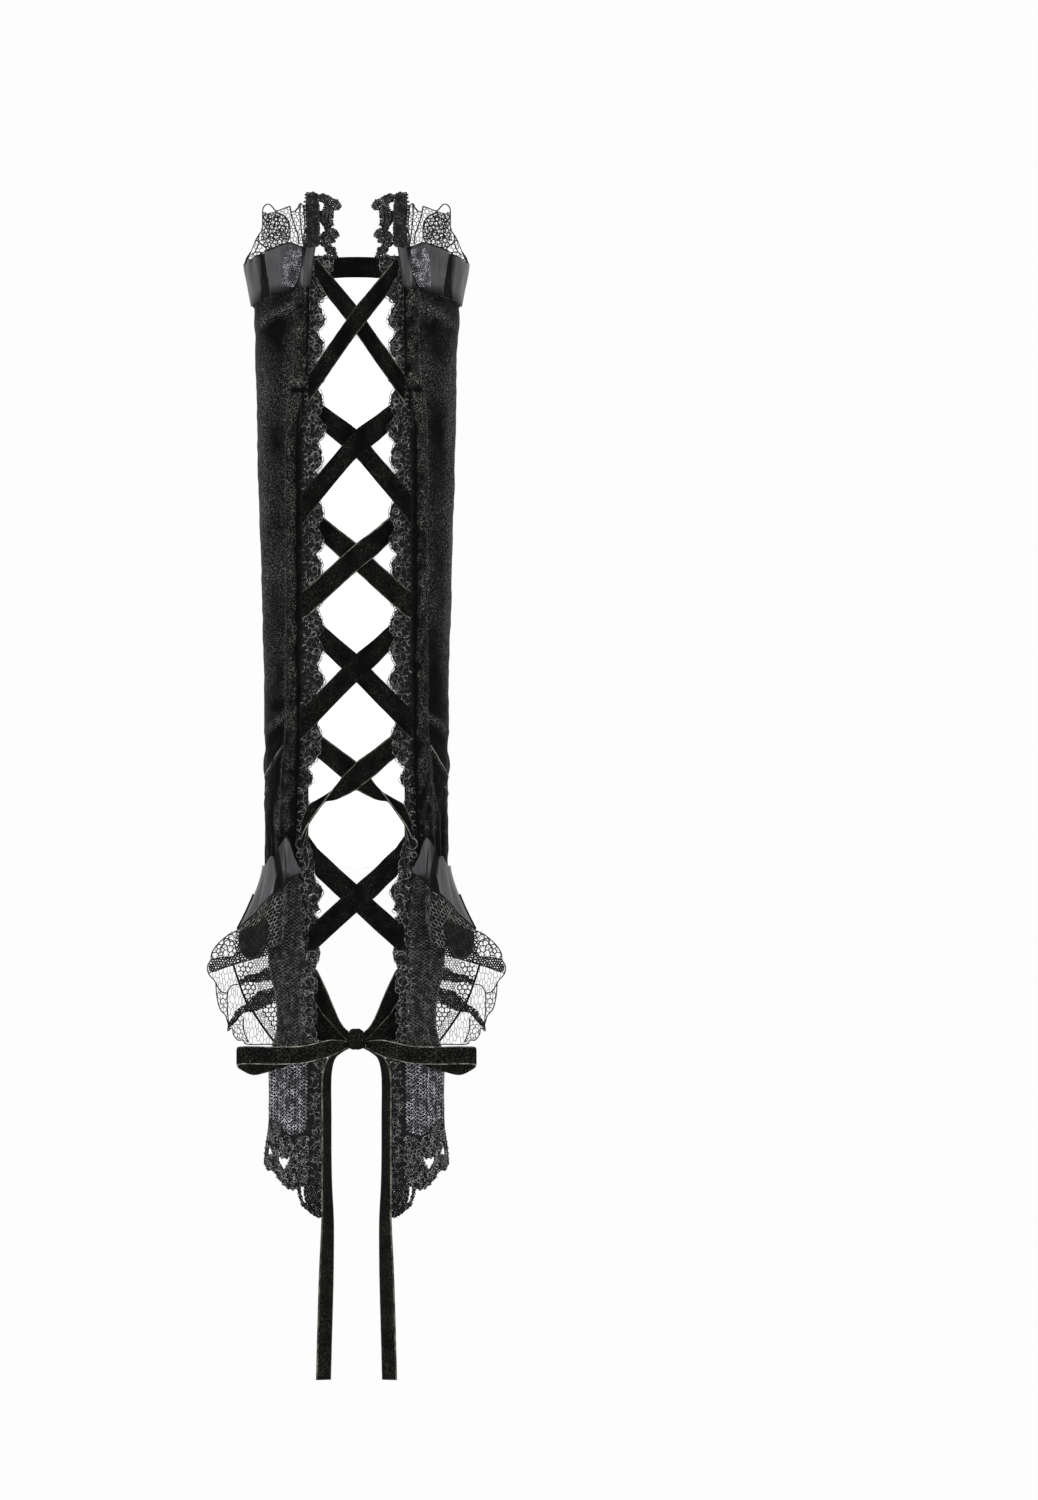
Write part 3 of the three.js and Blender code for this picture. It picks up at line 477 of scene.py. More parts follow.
camera = bpy.data.objects.new("camera", bpy.data.cameras.new("camera"))
camera.data.sensor_width = SENSOR
camera.data.lens = SENSOR * CAMERA_BACK / PHOTO_HIGH
camera.data.shift_x = OFF_CENTRE / PHOTO_HIGH
camera.location = (VIEW_CENTRE + Vector((0, -CAMERA_BACK, 0))) * MM
camera.rotation_euler = (math.pi / 2, 0, 0)
bpy.context.scene.collection.objects.link(camera)
bpy.context.scene.camera = camera


# Ribbon: a velvet face between two thin woven selvedges

RIBBON_WIDTH = 9.5
PILE_THICK = 1.1
SELVEDGE_THICK = 0.55
RIBBON_COLUMNS = np.array([0, 0.05, 0.075, 0.12, 0.3, 0.5, 0.7, 0.88, 0.925, 0.95, 1])
NEAR_EDGE = np.minimum(RIBBON_COLUMNS, 1 - RIBBON_COLUMNS)
SELVEDGE_COLUMNS = (0, len(RIBBON_COLUMNS) - 2)
FRONT = (0, -1, 0)


def ribbon(name, upper, lower, brushed=0.0, selvedge=SELVEDGE):
    """A length of ribbon between its two edges, with its pile bruised here and there."""
    part = RIBBON_COLUMNS[None, :, None]
    grid = upper[:, None, :] * (1 - part) + lower[:, None, :] * part
    in_pile = ramp(NEAR_EDGE, 0.03, 0.11)
    thick = np.tile(SELVEDGE_THICK + (PILE_THICK - SELVEDGE_THICK) * in_pile, (len(grid), 1))
    run = run_along((upper + lower) / 2)[:, None]
    pile = brushed + 0.45 * ripples(run, 12 * NEAR_EDGE[None, :], 15, 7) + 0.5 * hump(NEAR_EDGE, 0, 0.1)
    return cloth(name, grid, thick, [RIBBON_VELVET, selvedge, RIBBON_VELVET],
                 towards=FRONT, paint=lambda column: int(column in SELVEDGE_COLUMNS),
                 marks=dict(pile=pile))


# The bow's tails hang free, so they come first

TAIL_ROUTE = [
    (3.2, -27.0, -104.3), (7.4, -26.2, -106.4), (11.4, -26.3, -109.6), (13.4, -26.8, -115.2),
    (13.9, -27.0, -123.0), (13.8, -27.0, -135.0), (13.8, -27.0, -150.0), (13.7, -27.1, -168.0),
    (13.3, -27.2, -184.0), (13.7, -27.1, -202.0), (14.2, -26.8, -220.0), (14.7, -26.6, -238.0),
    (15.2, -26.5, -257.6)]
TAIL_GATHER = [0.25, 0.5, 0.75, 0.95] + [1.0] * (len(TAIL_ROUTE) - 4)
TAIL_TURN_ABOVE, TAIL_TURN_BELOW = math.radians(64), math.radians(46)
TAIL_TURNS_BETWEEN = (-150, -220)
TAIL_STEPS = 8

for side, word in SIDES.items():
    route = smoothed([(side * out, y, z) for out, y, z in TAIL_ROUTE], TAIL_STEPS)
    gather = smoothed(np.array(TAIL_GATHER)[:, None], TAIL_STEPS)
    down = ramp(route[:, 2:3], *TAIL_TURNS_BETWEEN)
    turn = TAIL_TURN_ABOVE + (TAIL_TURN_BELOW - TAIL_TURN_ABOVE) * down * down * (3 - 2 * down)
    half = np.hstack([side * np.cos(turn), -np.sin(turn), 0 * turn]) * gather * RIBBON_WIDTH / 2
    tail = ribbon(f"ribbon_tail_{word}", route - half, route + half, 0.6 + 0.4 * down)
    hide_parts(f"bow_tail_{word}")


# The sleeve: stretch velvet outside, pale tricot inside

SLEEVE_TOP, SLEEVE_BOTTOM = 255.5, -22.0
SLEEVE_ROWS, SLEEVE_HALF_COLUMNS = 230, 72
VELVET_THICK = 1.6
WRIST_GATHERS = -14
SLEEVE_EDGE = table(
    "z out", (256, 25.0), (237, 24.9), (210, 25.3), (182, 25.9), (174, 28.1),
    (42, 28.5), (-10, 28.3), (-22, 27.2))

# The ruched bands, that lie on the sleeve's front edges
BAND = table(
    "z outer inner rise",
    (245.0, 28.0, 21.6, 0.9), (241, 28.3, 21.6, 1.5), (235, 28.0, 21.6, 1.3), (222, 28.0, 21.8, 1.1),
    (206, 28.4, 22.2, 1.3), (201, 29.0, 22.6, 0.7), (198.0, 29.6, 23.0, 0.1), (194.5, 30.6, 24.2, 1.2),
    (188, 31.2, 25.6, 1.5), (176, 31.6, 26.5, 1.4), (146, 31.7, 26.7, 1.1), (106, 31.7, 26.7, 1.4),
    (60, 31.9, 26.6, 1.2), (37, 32.5, 26.6, 1.4), (22, 33.6, 26.6, 1.5), (10, 34.4, 26.8, 1.3),
    (-3, 34.8, 27.0, 1.2), (-7.5, 34.8, 27.4, 0.9))

# Creases pressed into the velvet, as lines on the front from one (out, z) to another: how far each
# lifts the cloth, how wide it is, and how it marks the pile, with a painted highlight where positive and
# painted shade where negative
CREASES = [
    ((27.8, 237.0), (37.5, 233.4), 0.9, 1.7, 1.2),
    ((37.5, 233.4), (46.0, 227.0), 0.9, 1.6, 1.2),
    ((28.0, 231.0), (46.6, 224.0), -0.5, 4.6, -0.4),
    ((33.0, 54.0), (41.4, 52.0), -0.5, 2.6, -0.7),
    ((33.4, 48.3), (41.8, 40.5), 0.9, 1.5, 1.3),
    ((33.0, 41.5), (41.6, 33.0), -0.8, 2.4, -0.6),
    ((33.6, 34.5), (42.1, 19.6), 0.7, 0.5, 1.6),
    ((40.5, 15.6), (42.1, 11.5), 0.5, 0.5, 1.4),
    ((33.8, 29.0), (34.3, 18.4), 0.5, 0.7, 0.8),
    ((34.3, 18.4), (35.7, 11.5), 0.5, 0.7, 0.9),
    ((35.7, 11.5), (38.2, -2.0), 0.6, 0.7, 1.0),
    ((31.0, 9.4), (35.0, 5.5), 0.6, 0.9, 1.3),
    ((35.0, 5.5), (36.7, -5.0), 0.6, 0.9, 1.4),
    ((39.0, 2.0), (40.2, -20.0), -0.7, 1.4, -0.5),
    ((41.0, 4.0), (41.5, -20.0), 0.5, 0.8, 0.6),
    ((35.0, 202.0), (43.0, 192.0), 0.35, 5.0, 0.25),
    ((34.0, 226.0), (38.0, 212.0), 0.2, 3.0, -0.15),
    ((36.0, 168.0), (40.0, 146.0), 0.2, 4.0, 0.2),
    ((34.0, 120.0), (36.0, 92.0), 0.3, 3.0, 0.25),
    ((33.0, 70.0), (40.0, 58.0), -0.3, 3.0, -0.3)]

# The sharp edges of two pressed folds at the wrist, drawn the same way. Thin pale threads laid along them
# are painted highlights on those edges.
SHARP_FOLDS = [((33.8, 34.3), (41.9, 19.9)), ((40.6, 15.4), (42.0, 11.7))]


def creased(out, z):
    """The sums of how the creases lift the cloth and of the painted highlights and shade they lay on its
    pile, at places on the front.
    """
    lifted, brushed = 0, 0
    for (x0, z0), (x1, z1), height, width, pile in CREASES:
        along_x, along_z = x1 - x0, z1 - z0
        t = ramp((out - x0) * along_x + (z - z0) * along_z, 0, along_x ** 2 + along_z ** 2)
        far = np.hypot(out - x0 - t * along_x, z - z0 - t * along_z)
        fade = np.sin(np.pi * (0.08 + 0.84 * t)) ** 0.5
        lifted = lifted + height * fade * hump(far, 0, width)
        brushed = brushed + pile * fade * hump(far, 0, width)
    return lifted, brushed


def sleeve_out(angle, z):
    return np.abs(eased(FORM, z, "half_width") * np.sin(angle))


def wrist_gathers(angle, z):
    """Fine upright folds where the sleeve is gathered at the wrist."""
    return hump(z, WRIST_GATHERS, 14) * np.sin(angle * 34 + z / 14)


def sleeve_level(angle, z):
    """How the velvet stands off the arm's oval: creases, soft ripples, and gathers at the wrist."""
    at_front = np.cos(angle) > 0
    soft = 0.2 * ripples(angle * 40, z, 26, 3) + 0.1 * ripples(angle * 40, z, 9, 5)
    back_seam = 0.5 * hump(z, 229, 3.5)
    back_folds = 0.8 * hump(z, 24, 16) * np.sin(z / 3.2 + 2 * np.cos(angle))
    at_back = (back_seam + back_folds) * (1 - at_front)
    lifted, _ = creased(sleeve_out(angle, z), z)
    return soft + 0.5 * wrist_gathers(angle, z) + at_back + at_front * lifted


def sleeve_painted_light(angle, z):
    """Painted light on the velvet: highlights along the creases' ridges, on the wrist gathers, just outside
    each band and on the narrow strips that turn to the sides, and shade in the creases' grooves, in the
    middle of each side, at the bands' edges and under the frill. It is also darker towards the wrist.
    """
    at_front = np.cos(angle) > 0
    out = sleeve_out(angle, z)
    # Painted highlights and shade on the wrist gathers' folds, and darker towards the wrist.
    near_wrist = ramp(z, 66, 44)
    gathers = 0.3 * wrist_gathers(angle, z) - 0.5 * near_wrist
    # Painted highlight on the narrow strips that turn to the sides.
    side = 0.8 * ramp(out, 39.2, 42.6) ** 1.5 * ramp(z, 222, 202) * (1 - 0.8 * near_wrist)
    # Painted shade in the middle of each side.
    painted_middle_shade = -0.25 * hump(out, 36.5, 2.6) * at_front
    # A painted highlight just outside each band, and painted shade at its edge.
    beside_band = out - eased(BAND, z, "outer")
    seam = 0.6 * hump(beside_band, 1.1, 0.45) - 0.9 * hump(beside_band, 0.2, 0.45)
    # Painted shade under the frill.
    painted_shade_under_frill = -0.35 * ramp(z, 234, 239)
    # Painted highlights and shade along the creases.
    _, brushed = creased(out, z)
    return gathers + side + painted_middle_shade + painted_shade_under_frill + at_front * (seam + brushed)


sleeve_z = np.linspace(SLEEVE_TOP, SLEEVE_BOTTOM, SLEEVE_ROWS)[:, None]
first_angle = angle_across(between(SLEEVE_EDGE, sleeve_z, "out"), sleeve_z)
spread = np.linspace(0, 1, SLEEVE_HALF_COLUMNS)[None, :]
half_angles = first_angle + (np.pi - first_angle) * (0.45 * spread + 0.55 * spread ** 2)
sleeve_angles = np.hstack([half_angles, 2 * np.pi - half_angles[:, -2::-1]])
sleeve_grid = round_arm(sleeve_angles, sleeve_z, sleeve_level(sleeve_angles, sleeve_z) - VELVET_THICK / 2)
sleeve = cloth("velvet_sleeve", sleeve_grid, VELVET_THICK, [SLEEVE_VELVET, BACKING],
               marks=dict(pile=sleeve_painted_light(sleeve_angles, sleeve_z)))
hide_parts("sleeve_body")
# Pale threads along the sharp folds' edges: painted highlights.
fold_highlight_lines = []
along = np.linspace(0, 1, 24)
for side in SIDES:
    for (out_0, z_0), (out_1, z_1) in SHARP_FOLDS:
        z = z_0 + (z_1 - z_0) * along
        out = out_0 + (out_1 - out_0) * along + 0.3 * np.sin(np.pi * along)
        angle = angle_across(out, z)
        fold_highlight_lines.append(round_arm(side * angle, z, sleeve_level(angle, z) + 0.02))
folds = threads("sleeve_fold_highlights", fold_highlight_lines, 0.2, BOW_SELVEDGE)


# The ruched velvet bands along the two front edges

BAND_THICK = 0.9
BAND_ROWS, BAND_COLUMNS = 260, 15
BAND_RIDGES = 2.5


def band_grid(side):
    z = top_to_bottom(BAND, BAND_ROWS)
    outer, inner, rise = eased(BAND, z, "outer", "inner", "rise")
    part = np.linspace(0, 1, BAND_COLUMNS)[None, :]
    wander = 0.35 * ripples(z, 0 * z, 14, 11 + side) * np.sin(np.pi * part)
    out = outer + (inner - outer) * part + wander
    crown = np.sin(np.pi * part) ** 0.75
    ridge = np.sin(2 * np.pi * (part * BAND_RIDGES + 0.25 * ripples(z, 0 * z, 30, 17)))
    below_pucker = ramp(z, 198, 190)
    ruche = 0.3 * ripples(z * 1.6, out * 0.5, 5.0, 21 + side) * (1 - 0.6 * below_pucker)
    ruche = ruche + 0.14 * ridge * below_pucker + 0.14 * ripples(z, out, 2.2, 31 + side)
    _, brushed = creased(out, z)
    # The pile mark is mostly painted light: painted highlights on the ruche's ridges, down the band's
    # middle, along its outer edge, on the creases and on the pucker's bulges, and painted shade in the
    # pucker's fold and towards its inner edge. It is also darker lower down, and varies at random.
    pile = 0.5 * ruche + 0.3 * np.sin(np.pi * part) + 0.25 * ripples(z, out * 2.5, 9, 27 + side)
    pile = pile - 0.1 + ramp(z, 60, 54) * brushed
    pile = pile + 0.8 * hump(z, 202.5, 2.2) - 1.2 * hump(z, 198, 1.1) + 0.8 * hump(z, 191, 4.0)
    pile = pile + 0.5 * hump(part, 0.08, 0.06) - 0.9 * ramp(part, 0.84, 0.98) - 0.3 * ramp(z, 40, 20)
    level = 0.25 + BAND_THICK / 2 + (rise + ruche) * crown
    return on_front(side * out, z, level), np.broadcast_to(pile, level.shape)


def band_stitches(side):
    """Short stitches that hold the band, along both its edges."""
    lines = []
    for z in np.arange(BAND["z"][0] + 6, BAND["z"][-1] - 2, 2.3):
        ends = np.array([z, z + 1.2])
        outer, inner = eased(BAND, ends, "outer", "inner")
        lines.append(on_front(side * (outer - 0.25), ends, 0.75))
        lines.append(on_front(side * (inner + 0.3), ends + 0.7, 0.8))
    return lines


for side, word in SIDES.items():
    grid, pile = band_grid(side)
    band = cloth(f"ruched_band_{word}", grid, BAND_THICK, [BAND_VELVET], marks=dict(pile=pile))
    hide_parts(f"placket_{word}")
    threads(f"band_stitches_{word}", band_stitches(side), 0.13, STITCH)


# Lace made as nets: the walls between cells that are scattered over a flat area

def net_walls(left, bottom, right, top, spacing, jitter, seed):
    """Pairs of (u, v) ends of the threads between neighbouring cells over a rectangle."""
    draw = np.random.default_rng(seed)
    points = []
    rows = int((top - bottom) / (spacing * 0.866)) + 3
    columns = int((right - left) / spacing) + 3
    for i in range(rows):
        for j in range(columns):
            u = left + (j - 1 + 0.5 * (i % 2)) * spacing
            v = bottom + (i - 1) * spacing * 0.866
            points.append(Vector((u, v)) + Vector(draw.uniform(-1, 1, 2)) * spacing * jitter)
    made = delaunay_2d_cdt(points, [], [], 0, 1e-6, False)
    corners, triangles = np.array(made[0]), made[2]
    middles = np.array([corners[list(face)].mean(axis=0) for face in triangles])
    beside = {}
    for number, face in enumerate(triangles):
        for k in range(3):
            edge = tuple(sorted((face[k], face[(k + 1) % 3])))
            beside.setdefault(edge, []).append(number)
    pairs = np.array([faces for faces in beside.values() if len(faces) == 2])
    return np.stack([middles[pairs[:, 0]], middles[pairs[:, 1]]], axis=1)


def kept(walls, inside):
    """The threads whose middles are inside."""
    middle = walls.mean(axis=1)
    return walls[inside(middle[:, 0], middle[:, 1])]


def within(outline, u, v):
    """Whether points lie inside a closed outline."""
    inside = np.zeros(np.shape(u), bool)
    count = len(outline)
    for k in range(count):
        (u0, v0), (u1, v1) = outline[k], outline[(k + 1) % count]
        crosses = (v0 > v) != (v1 > v)
        inside ^= crosses & (u < (u1 - u0) * (v - v0) / (v1 - v0 + 1e-12) + u0)
    return inside


def net_over(outline, spacing, jitter, seed):
    """The threads of a net that fills an outline."""
    low, high = np.min(outline, axis=0), np.max(outline, axis=0)
    walls = net_walls(low[0], low[1], high[0], high[1], spacing, jitter, seed)
    return kept(walls, lambda u, v: within(outline, u, v))


# The crochet edging: scallops of curled thread on a thin dark ground

FRONT_EDGE = table(
    "z root turn notch tip",
    (289, 17.4, 17.0, 12.4, 7.2), (265, 19.4, 17.0, 12.0, 8.6), (262, 21.4, 18.7, 12.2, 9.6),
    (245, 23.0, 18.7, 16.0, 11.6), (237.5, 24.6, 20.6, 17.6, 14.0), (210, 25.0, 21.8, 18.2, 14.6),
    (182, 25.6, 21.9, 18.3, 14.8), (174, 27.8, 24.6, 18.4, 14.8), (42, 28.2, 25.0, 18.4, 15.0),
    (24, 28.2, 25.0, 21.8, 19.0), (5, 28.1, 25.0, 21.8, 20.6), (-2, 28.0, 25.0, 22.6, 22.0),
    (-10, 28.0, 25.0, 22.6, 21.8), (-14, 27.5, 24.8, 20.6, 18.6), (-18, 27.0, 24.6, 18.6, 15.4),
    (-57, 24.0, 21.8, 18.8, 15.8), (-65, 24.0, 22.0, 19.4, 17.4), (-77, 23.8, 22.4, 19.2, 17.4),
    (-88, 23.6, 25.0, 19.4, 17.6), (-101, 22.4, 25.0, 19.2, 17.6), (-104.5, 22.0, 23.0, 15.0, 13.8),
    (-112, 21.6, 21.4, 15.0, 13.8), (-125, 21.6, 20.6, 15.6, 14.4), (-172, 21.6, 20.6, 15.6, 14.4))
EDGING_TOP, EDGING_BOTTOM = 288.4, -183.5
GROUND_TOP, GROUND_BOTTOM = 259.5, -170.0
SCALLOPS = 37
SCALLOP_PITCH = (EDGING_TOP - EDGING_BOTTOM) / SCALLOPS
EDGING_LEVEL = -0.6
EDGING_THICK = 0.5
TURN_RADIUS = 1.4
RINGS_WIDE = (10, -100)
# Rows of curls, by how far in from the scallops' edge each runs
CURL_ROWS = [
    dict(inward=0.8, radius=0.95, pitch=2.5, level=0.0),
    dict(inward=2.9, radius=1.15, pitch=3.4, level=0.1),
    dict(inward=5.4, radius=1.15, pitch=3.6, level=-0.05),
    dict(inward=7.9, radius=1.0, pitch=3.4, level=-0.1),
    dict(inward=9.9, radius=0.9, pitch=3.2, level=-0.15)]
CURL_THREAD, RING_THREAD = 0.175, 0.25
SHORTEST_RUN = 14
# How far out the curls show before they go under the band; beside the hand they lap over the panel
CURLS_END = table(
    "z out", (289, 17.0), (262, 21.0), (245, 23.0), (237.5, 25.0), (46, 25.0), (34, 26.0),
    (-22, 26.2), (-98, 26.0), (-107, 21.2), (-184, 21.2))


def over_panel(z):
    """How much higher the curls lie where they lap over the hand panel."""
    return 0.5 * ramp(z, -20, -24) * ramp(z, -106, -102)


# The scallops at the wrist, where they are deeper and less even than elsewhere
WRIST_SCALLOPS = table(
    "z reach", (36, 16.4), (31, 16.7), (27.5, 18.4), (25.0, 20.6), (24.3, 23.2), (23.2, 23.4),
    (22.4, 21.4), (20.6, 19.9), (18.4, 19.6), (16.4, 20.4), (14.8, 23.0), (13.6, 23.4),
    (12.4, 22.6), (9, 22.3), (5, 21.6), (2, 22.2), (-8, 22.6), (-11, 22.0), (-14, 20.6),
    (-18, 19.8), (-22, 19.2), (-26, 19.0), (-28.5, 18.2), (-31, 15.4), (-32.5, 15.0),
    (-35, 15.6), (-38.5, 17.8), (-42, 16.0))
# How far the ground stays short of the curls, and less far from a height on down
GROUND_SHORT, GROUND_SHORT_LOW, LOW_FROM = 0.8, 0.3, -57


def scallop_reach(z):
    """How far in the edging reaches: rounded scallops that are no two quite the same."""
    notch, tip = between(FRONT_EDGE, z, "notch", "tip")
    phase = ((EDGING_TOP - z) / SCALLOP_PITCH) % 1
    rounded = np.sin(np.pi * phase ** 1.2) ** 0.8
    uneven = 0.5 * ripples(z, 0 * z, 19, 43) + 0.3 * ripples(z, 0 * z, 4.2, 44)
    at_wrist = (z < WRIST_SCALLOPS["z"][-1]) & (z > WRIST_SCALLOPS["z"][0])
    return np.where(at_wrist, between(WRIST_SCALLOPS, z, "reach"), notch + (tip - notch) * rounded + uneven)


def edging_grid(side):
    """The dark ground under the curls, from its hidden root to just short of the scallops."""
    z = np.linspace(GROUND_TOP, GROUND_BOTTOM, SCALLOPS * 12 + 1)[:, None]
    root, turn = between(FRONT_EDGE, z, "root", "turn")
    body = np.minimum(turn - TURN_RADIUS - 0.5, root - 0.6)
    short_of = np.where(z > LOW_FROM, GROUND_SHORT, GROUND_SHORT_LOW)
    reach = np.minimum(scallop_reach(z) + short_of, body - 0.6)
    out = np.hstack([root, (root + body) / 2, body, body + (reach - body) * 0.5, reach])
    return on_front(side * out, z, EDGING_LEVEL)


def ahead_and_beside(line):
    """A flat line's direction at each point, and the direction square to it."""
    ahead = unit(np.gradient(line, axis=0))
    return ahead, np.column_stack([-ahead[:, 1], ahead[:, 0]])


def curled(route, pitch, radius, level, side, seed):
    """A thread that curls round and round as it runs along a route of (out, z) points."""
    line = evenly(route, pitch / 9)
    at = np.arange(len(line)) * pitch / 9
    turn = 2 * np.pi * (at / pitch + 0.35 * ripples(at, 0 * at, 9, seed))
    size = radius * (1 + 0.22 * ripples(at, 0 * at, 6, seed + 1))
    ahead, beside = ahead_and_beside(line)
    line = line + size[:, None] * (np.cos(turn)[:, None] * ahead + np.sin(turn)[:, None] * beside)
    lift = level + 0.25 * np.sin(turn * 0.5 + 1.3) + over_panel(line[:, 1])
    return on_front(side * line[:, 0], line[:, 1], lift)


def curl_runs(row):
    """The stretches of a row of curls that show beside the edging's hidden root."""
    runs = [[]]
    for z in np.arange(GROUND_TOP, GROUND_BOTTOM, -0.3):
        out = float(scallop_reach(z)) + row["inward"]
        if out > float(between(CURLS_END, z, "out")):
            runs.append([])
        else:
            runs[-1].append((out, z))
    return [np.array(run) for run in runs if len(run) > SHORTEST_RUN]


def edging_curls(side):
    lines = []
    for number, row in enumerate(CURL_ROWS):
        level = EDGING_LEVEL + 0.5 + row["level"]
        for run in curl_runs(row):
            lines.append(curled(run, row["pitch"], row["radius"], level, side, 51 + number))
    return lines


def ring(out, z, radius, level, side, turns=2.0):
    around = np.linspace(0, 2 * np.pi * turns, int(14 * turns))
    wide = radius * (1 + 0.05 * around / np.pi)
    across, up = out + wide * np.cos(around), z + wide * np.sin(around)
    return on_front(side * across, up, level + 0.04 * around)


def edging_rings(side):
    """A ring in the middle of each scallop, and a smaller one below it."""
    lines = []
    for scallop in range(SCALLOPS):
        z = EDGING_TOP - SCALLOP_PITCH * (scallop + 0.5) + 0.8 * math.sin(scallop * 2.3)
        if z > GROUND_TOP - 2 or z < GROUND_BOTTOM + 6:
            continue
        out = float(scallop_reach(z)) + 3.1
        wider = 0.8 if RINGS_WIDE[0] > z > RINGS_WIDE[1] else 0
        wide = 1.4 + 0.2 * math.sin(scallop * 1.7) + wider
        level = EDGING_LEVEL + 0.7 + over_panel(z)
        lines.append(ring(out, z, wide, level + 0.05, side, 1.5))
        lines.append(ring(out + 1.2, z - 5.2, 1.1, level, side, 1.2))
    return lines


# The thick crochet beside the standing tab, as areas of (out, z), and the ropes and rings on it
TOP_AREAS = [
    [(17.6, 280.2), (13.0, 280.2), (12.7, 274.0), (15.6, 273.8), (17.4, 275.6)],
    [(17, 287.3), (15.4, 288.1), (13.1, 287.1), (10.6, 285.7), (8.5, 285.1), (7, 283.1),
     (7.3, 281.1), (8.5, 280.1), (10.3, 280.2), (10.7, 277.8), (11, 275.5), (10.6, 273.5),
     (11.7, 272.6), (12.9, 270.9), (14.5, 271.4), (15.9, 273.9), (16.6, 275.5), (17.1, 279.4),
     (15.3, 281.1), (15.1, 283.6), (16.1, 284.5), (17, 283.8), (17.5, 285.7)],
    [(16.3, 269.6), (14.3, 271.2), (12.7, 271.9), (10.6, 272.1), (9, 271.2), (7.9, 269.3),
     (8.2, 268), (9.8, 267.4), (9.8, 265.9), (10.8, 265.1), (12.5, 265.6), (11.4, 263.9),
     (10, 263.4), (9.2, 261.3), (8.5, 258.5), (10.3, 257.6), (12.7, 257.6), (14.1, 261.3),
     (16, 264), (17.2, 265.3), (17.6, 267.7)],
    [(18.4, 259.3), (15.2, 259.5), (14, 260.8), (11.7, 257.8), (11.7, 256.7), (18.4, 256.7)]]
ROPES = [
    [(15.9, 287), (13.8, 285.9), (12.9, 283.4), (13.3, 279.7), (13.8, 276), (12.7, 273)],
    [(17.7, 287), (15.4, 287.6), (12.9, 286.6), (10.3, 285), (8.3, 284.1), (7.6, 282.4),
     (8.4, 281.1)],
    [(14.5, 285.7), (14.5, 281.5), (15.4, 277.8), (14.7, 274.6), (12.7, 271.6)],
    [(11.3, 283.4), (11.7, 280.1), (12, 276.9), (11.7, 273.7)],
    [(14.5, 270.9), (12.4, 271.3), (10.3, 271.2), (8.7, 269.8), (9, 268.3), (10.8, 268.1)],
    [(16.6, 266.8), (15.9, 268.9), (13.8, 269.8), (11.7, 269.3)],
    [(16.1, 267.7), (15, 265.2), (12.9, 262.7), (10.8, 260.4), (9.4, 258.3)],
    [(14.5, 268.2), (13.3, 265.7), (11.5, 263.4), (10.1, 261.3), (9.2, 259)],
    [(12.9, 267.5), (11.3, 266.1), (10.6, 266.3)],
    [(17.9, 258.5), (15.9, 258.8), (13.8, 259.7), (12.2, 258.5)],
    [(17.7, 256.7), (15.6, 254.8), (14.3, 252.1), (14, 248.4)],
    [(15.9, 257.4), (13.6, 255.3), (12.4, 252.1), (12.7, 248.4)]]
ROPE_RINGS = [
    (8.6, 282.8, 1.2), (10.1, 269.8, 1), (11.5, 267, 0.8), (10.6, 262.2, 1), (15.6, 285.9, 0.9),
    (12.7, 284.7, 0.9), (13.8, 268.9, 0.9)]
# The last lobe below the hem, and the curls on it; its outermost one stands off beside a long hole
LAST_LOBE = [
    (24.4, -167), (20.8, -165.6), (15.9, -165.6), (15.9, -182.8), (17.8, -183.1), (20.8, -181.3),
    (22.9, -178.3), (23.9, -174.7), (24.4, -171.1)]
OUTER_CURVE = [
    (27.4, -167.6), (27.3, -170.2), (26.4, -174.8), (25.0, -178), (22.3, -180.1), (19.6, -182.2),
    (16.8, -183.3), (16.8, -181), (20.8, -178.6), (23.4, -177), (24.6, -175.4), (25.7, -172.4),
    (26.2, -167.6)]
LOBE_ROUTES = [
    [(26.8, -168.6), (26.4, -172.4), (25.2, -176.4), (22.9, -178.8), (20.2, -180.9), (17.4, -182.4)],
    [(23.7, -169.7), (23.4, -173.2), (22.1, -176.6)],
    [(22.1, -168.8), (21.6, -173), (20.5, -176.6), (18.2, -179.2), (16.3, -179.9)],
    [(19.6, -168.4), (19.1, -172.5), (17.7, -175.7), (16.3, -177.1)]]
ROPE_STRAND, ROPE_PITCH = 0.36, 2.6


def rope(route, side, level):
    """Two strands that twist round each other along a route."""
    line = evenly(smoothed(route, 8), 0.35)
    at = np.arange(len(line)) * 0.35
    _, beside = ahead_and_beside(line)
    strands = []
    for start in (0, np.pi):
        turn = 2 * np.pi * at / ROPE_PITCH + start
        moved = line + ROPE_STRAND * np.sin(turn)[:, None] * beside
        strands.append(on_front(side * moved[:, 0], moved[:, 1], level + ROPE_STRAND * np.cos(turn)))
    return strands


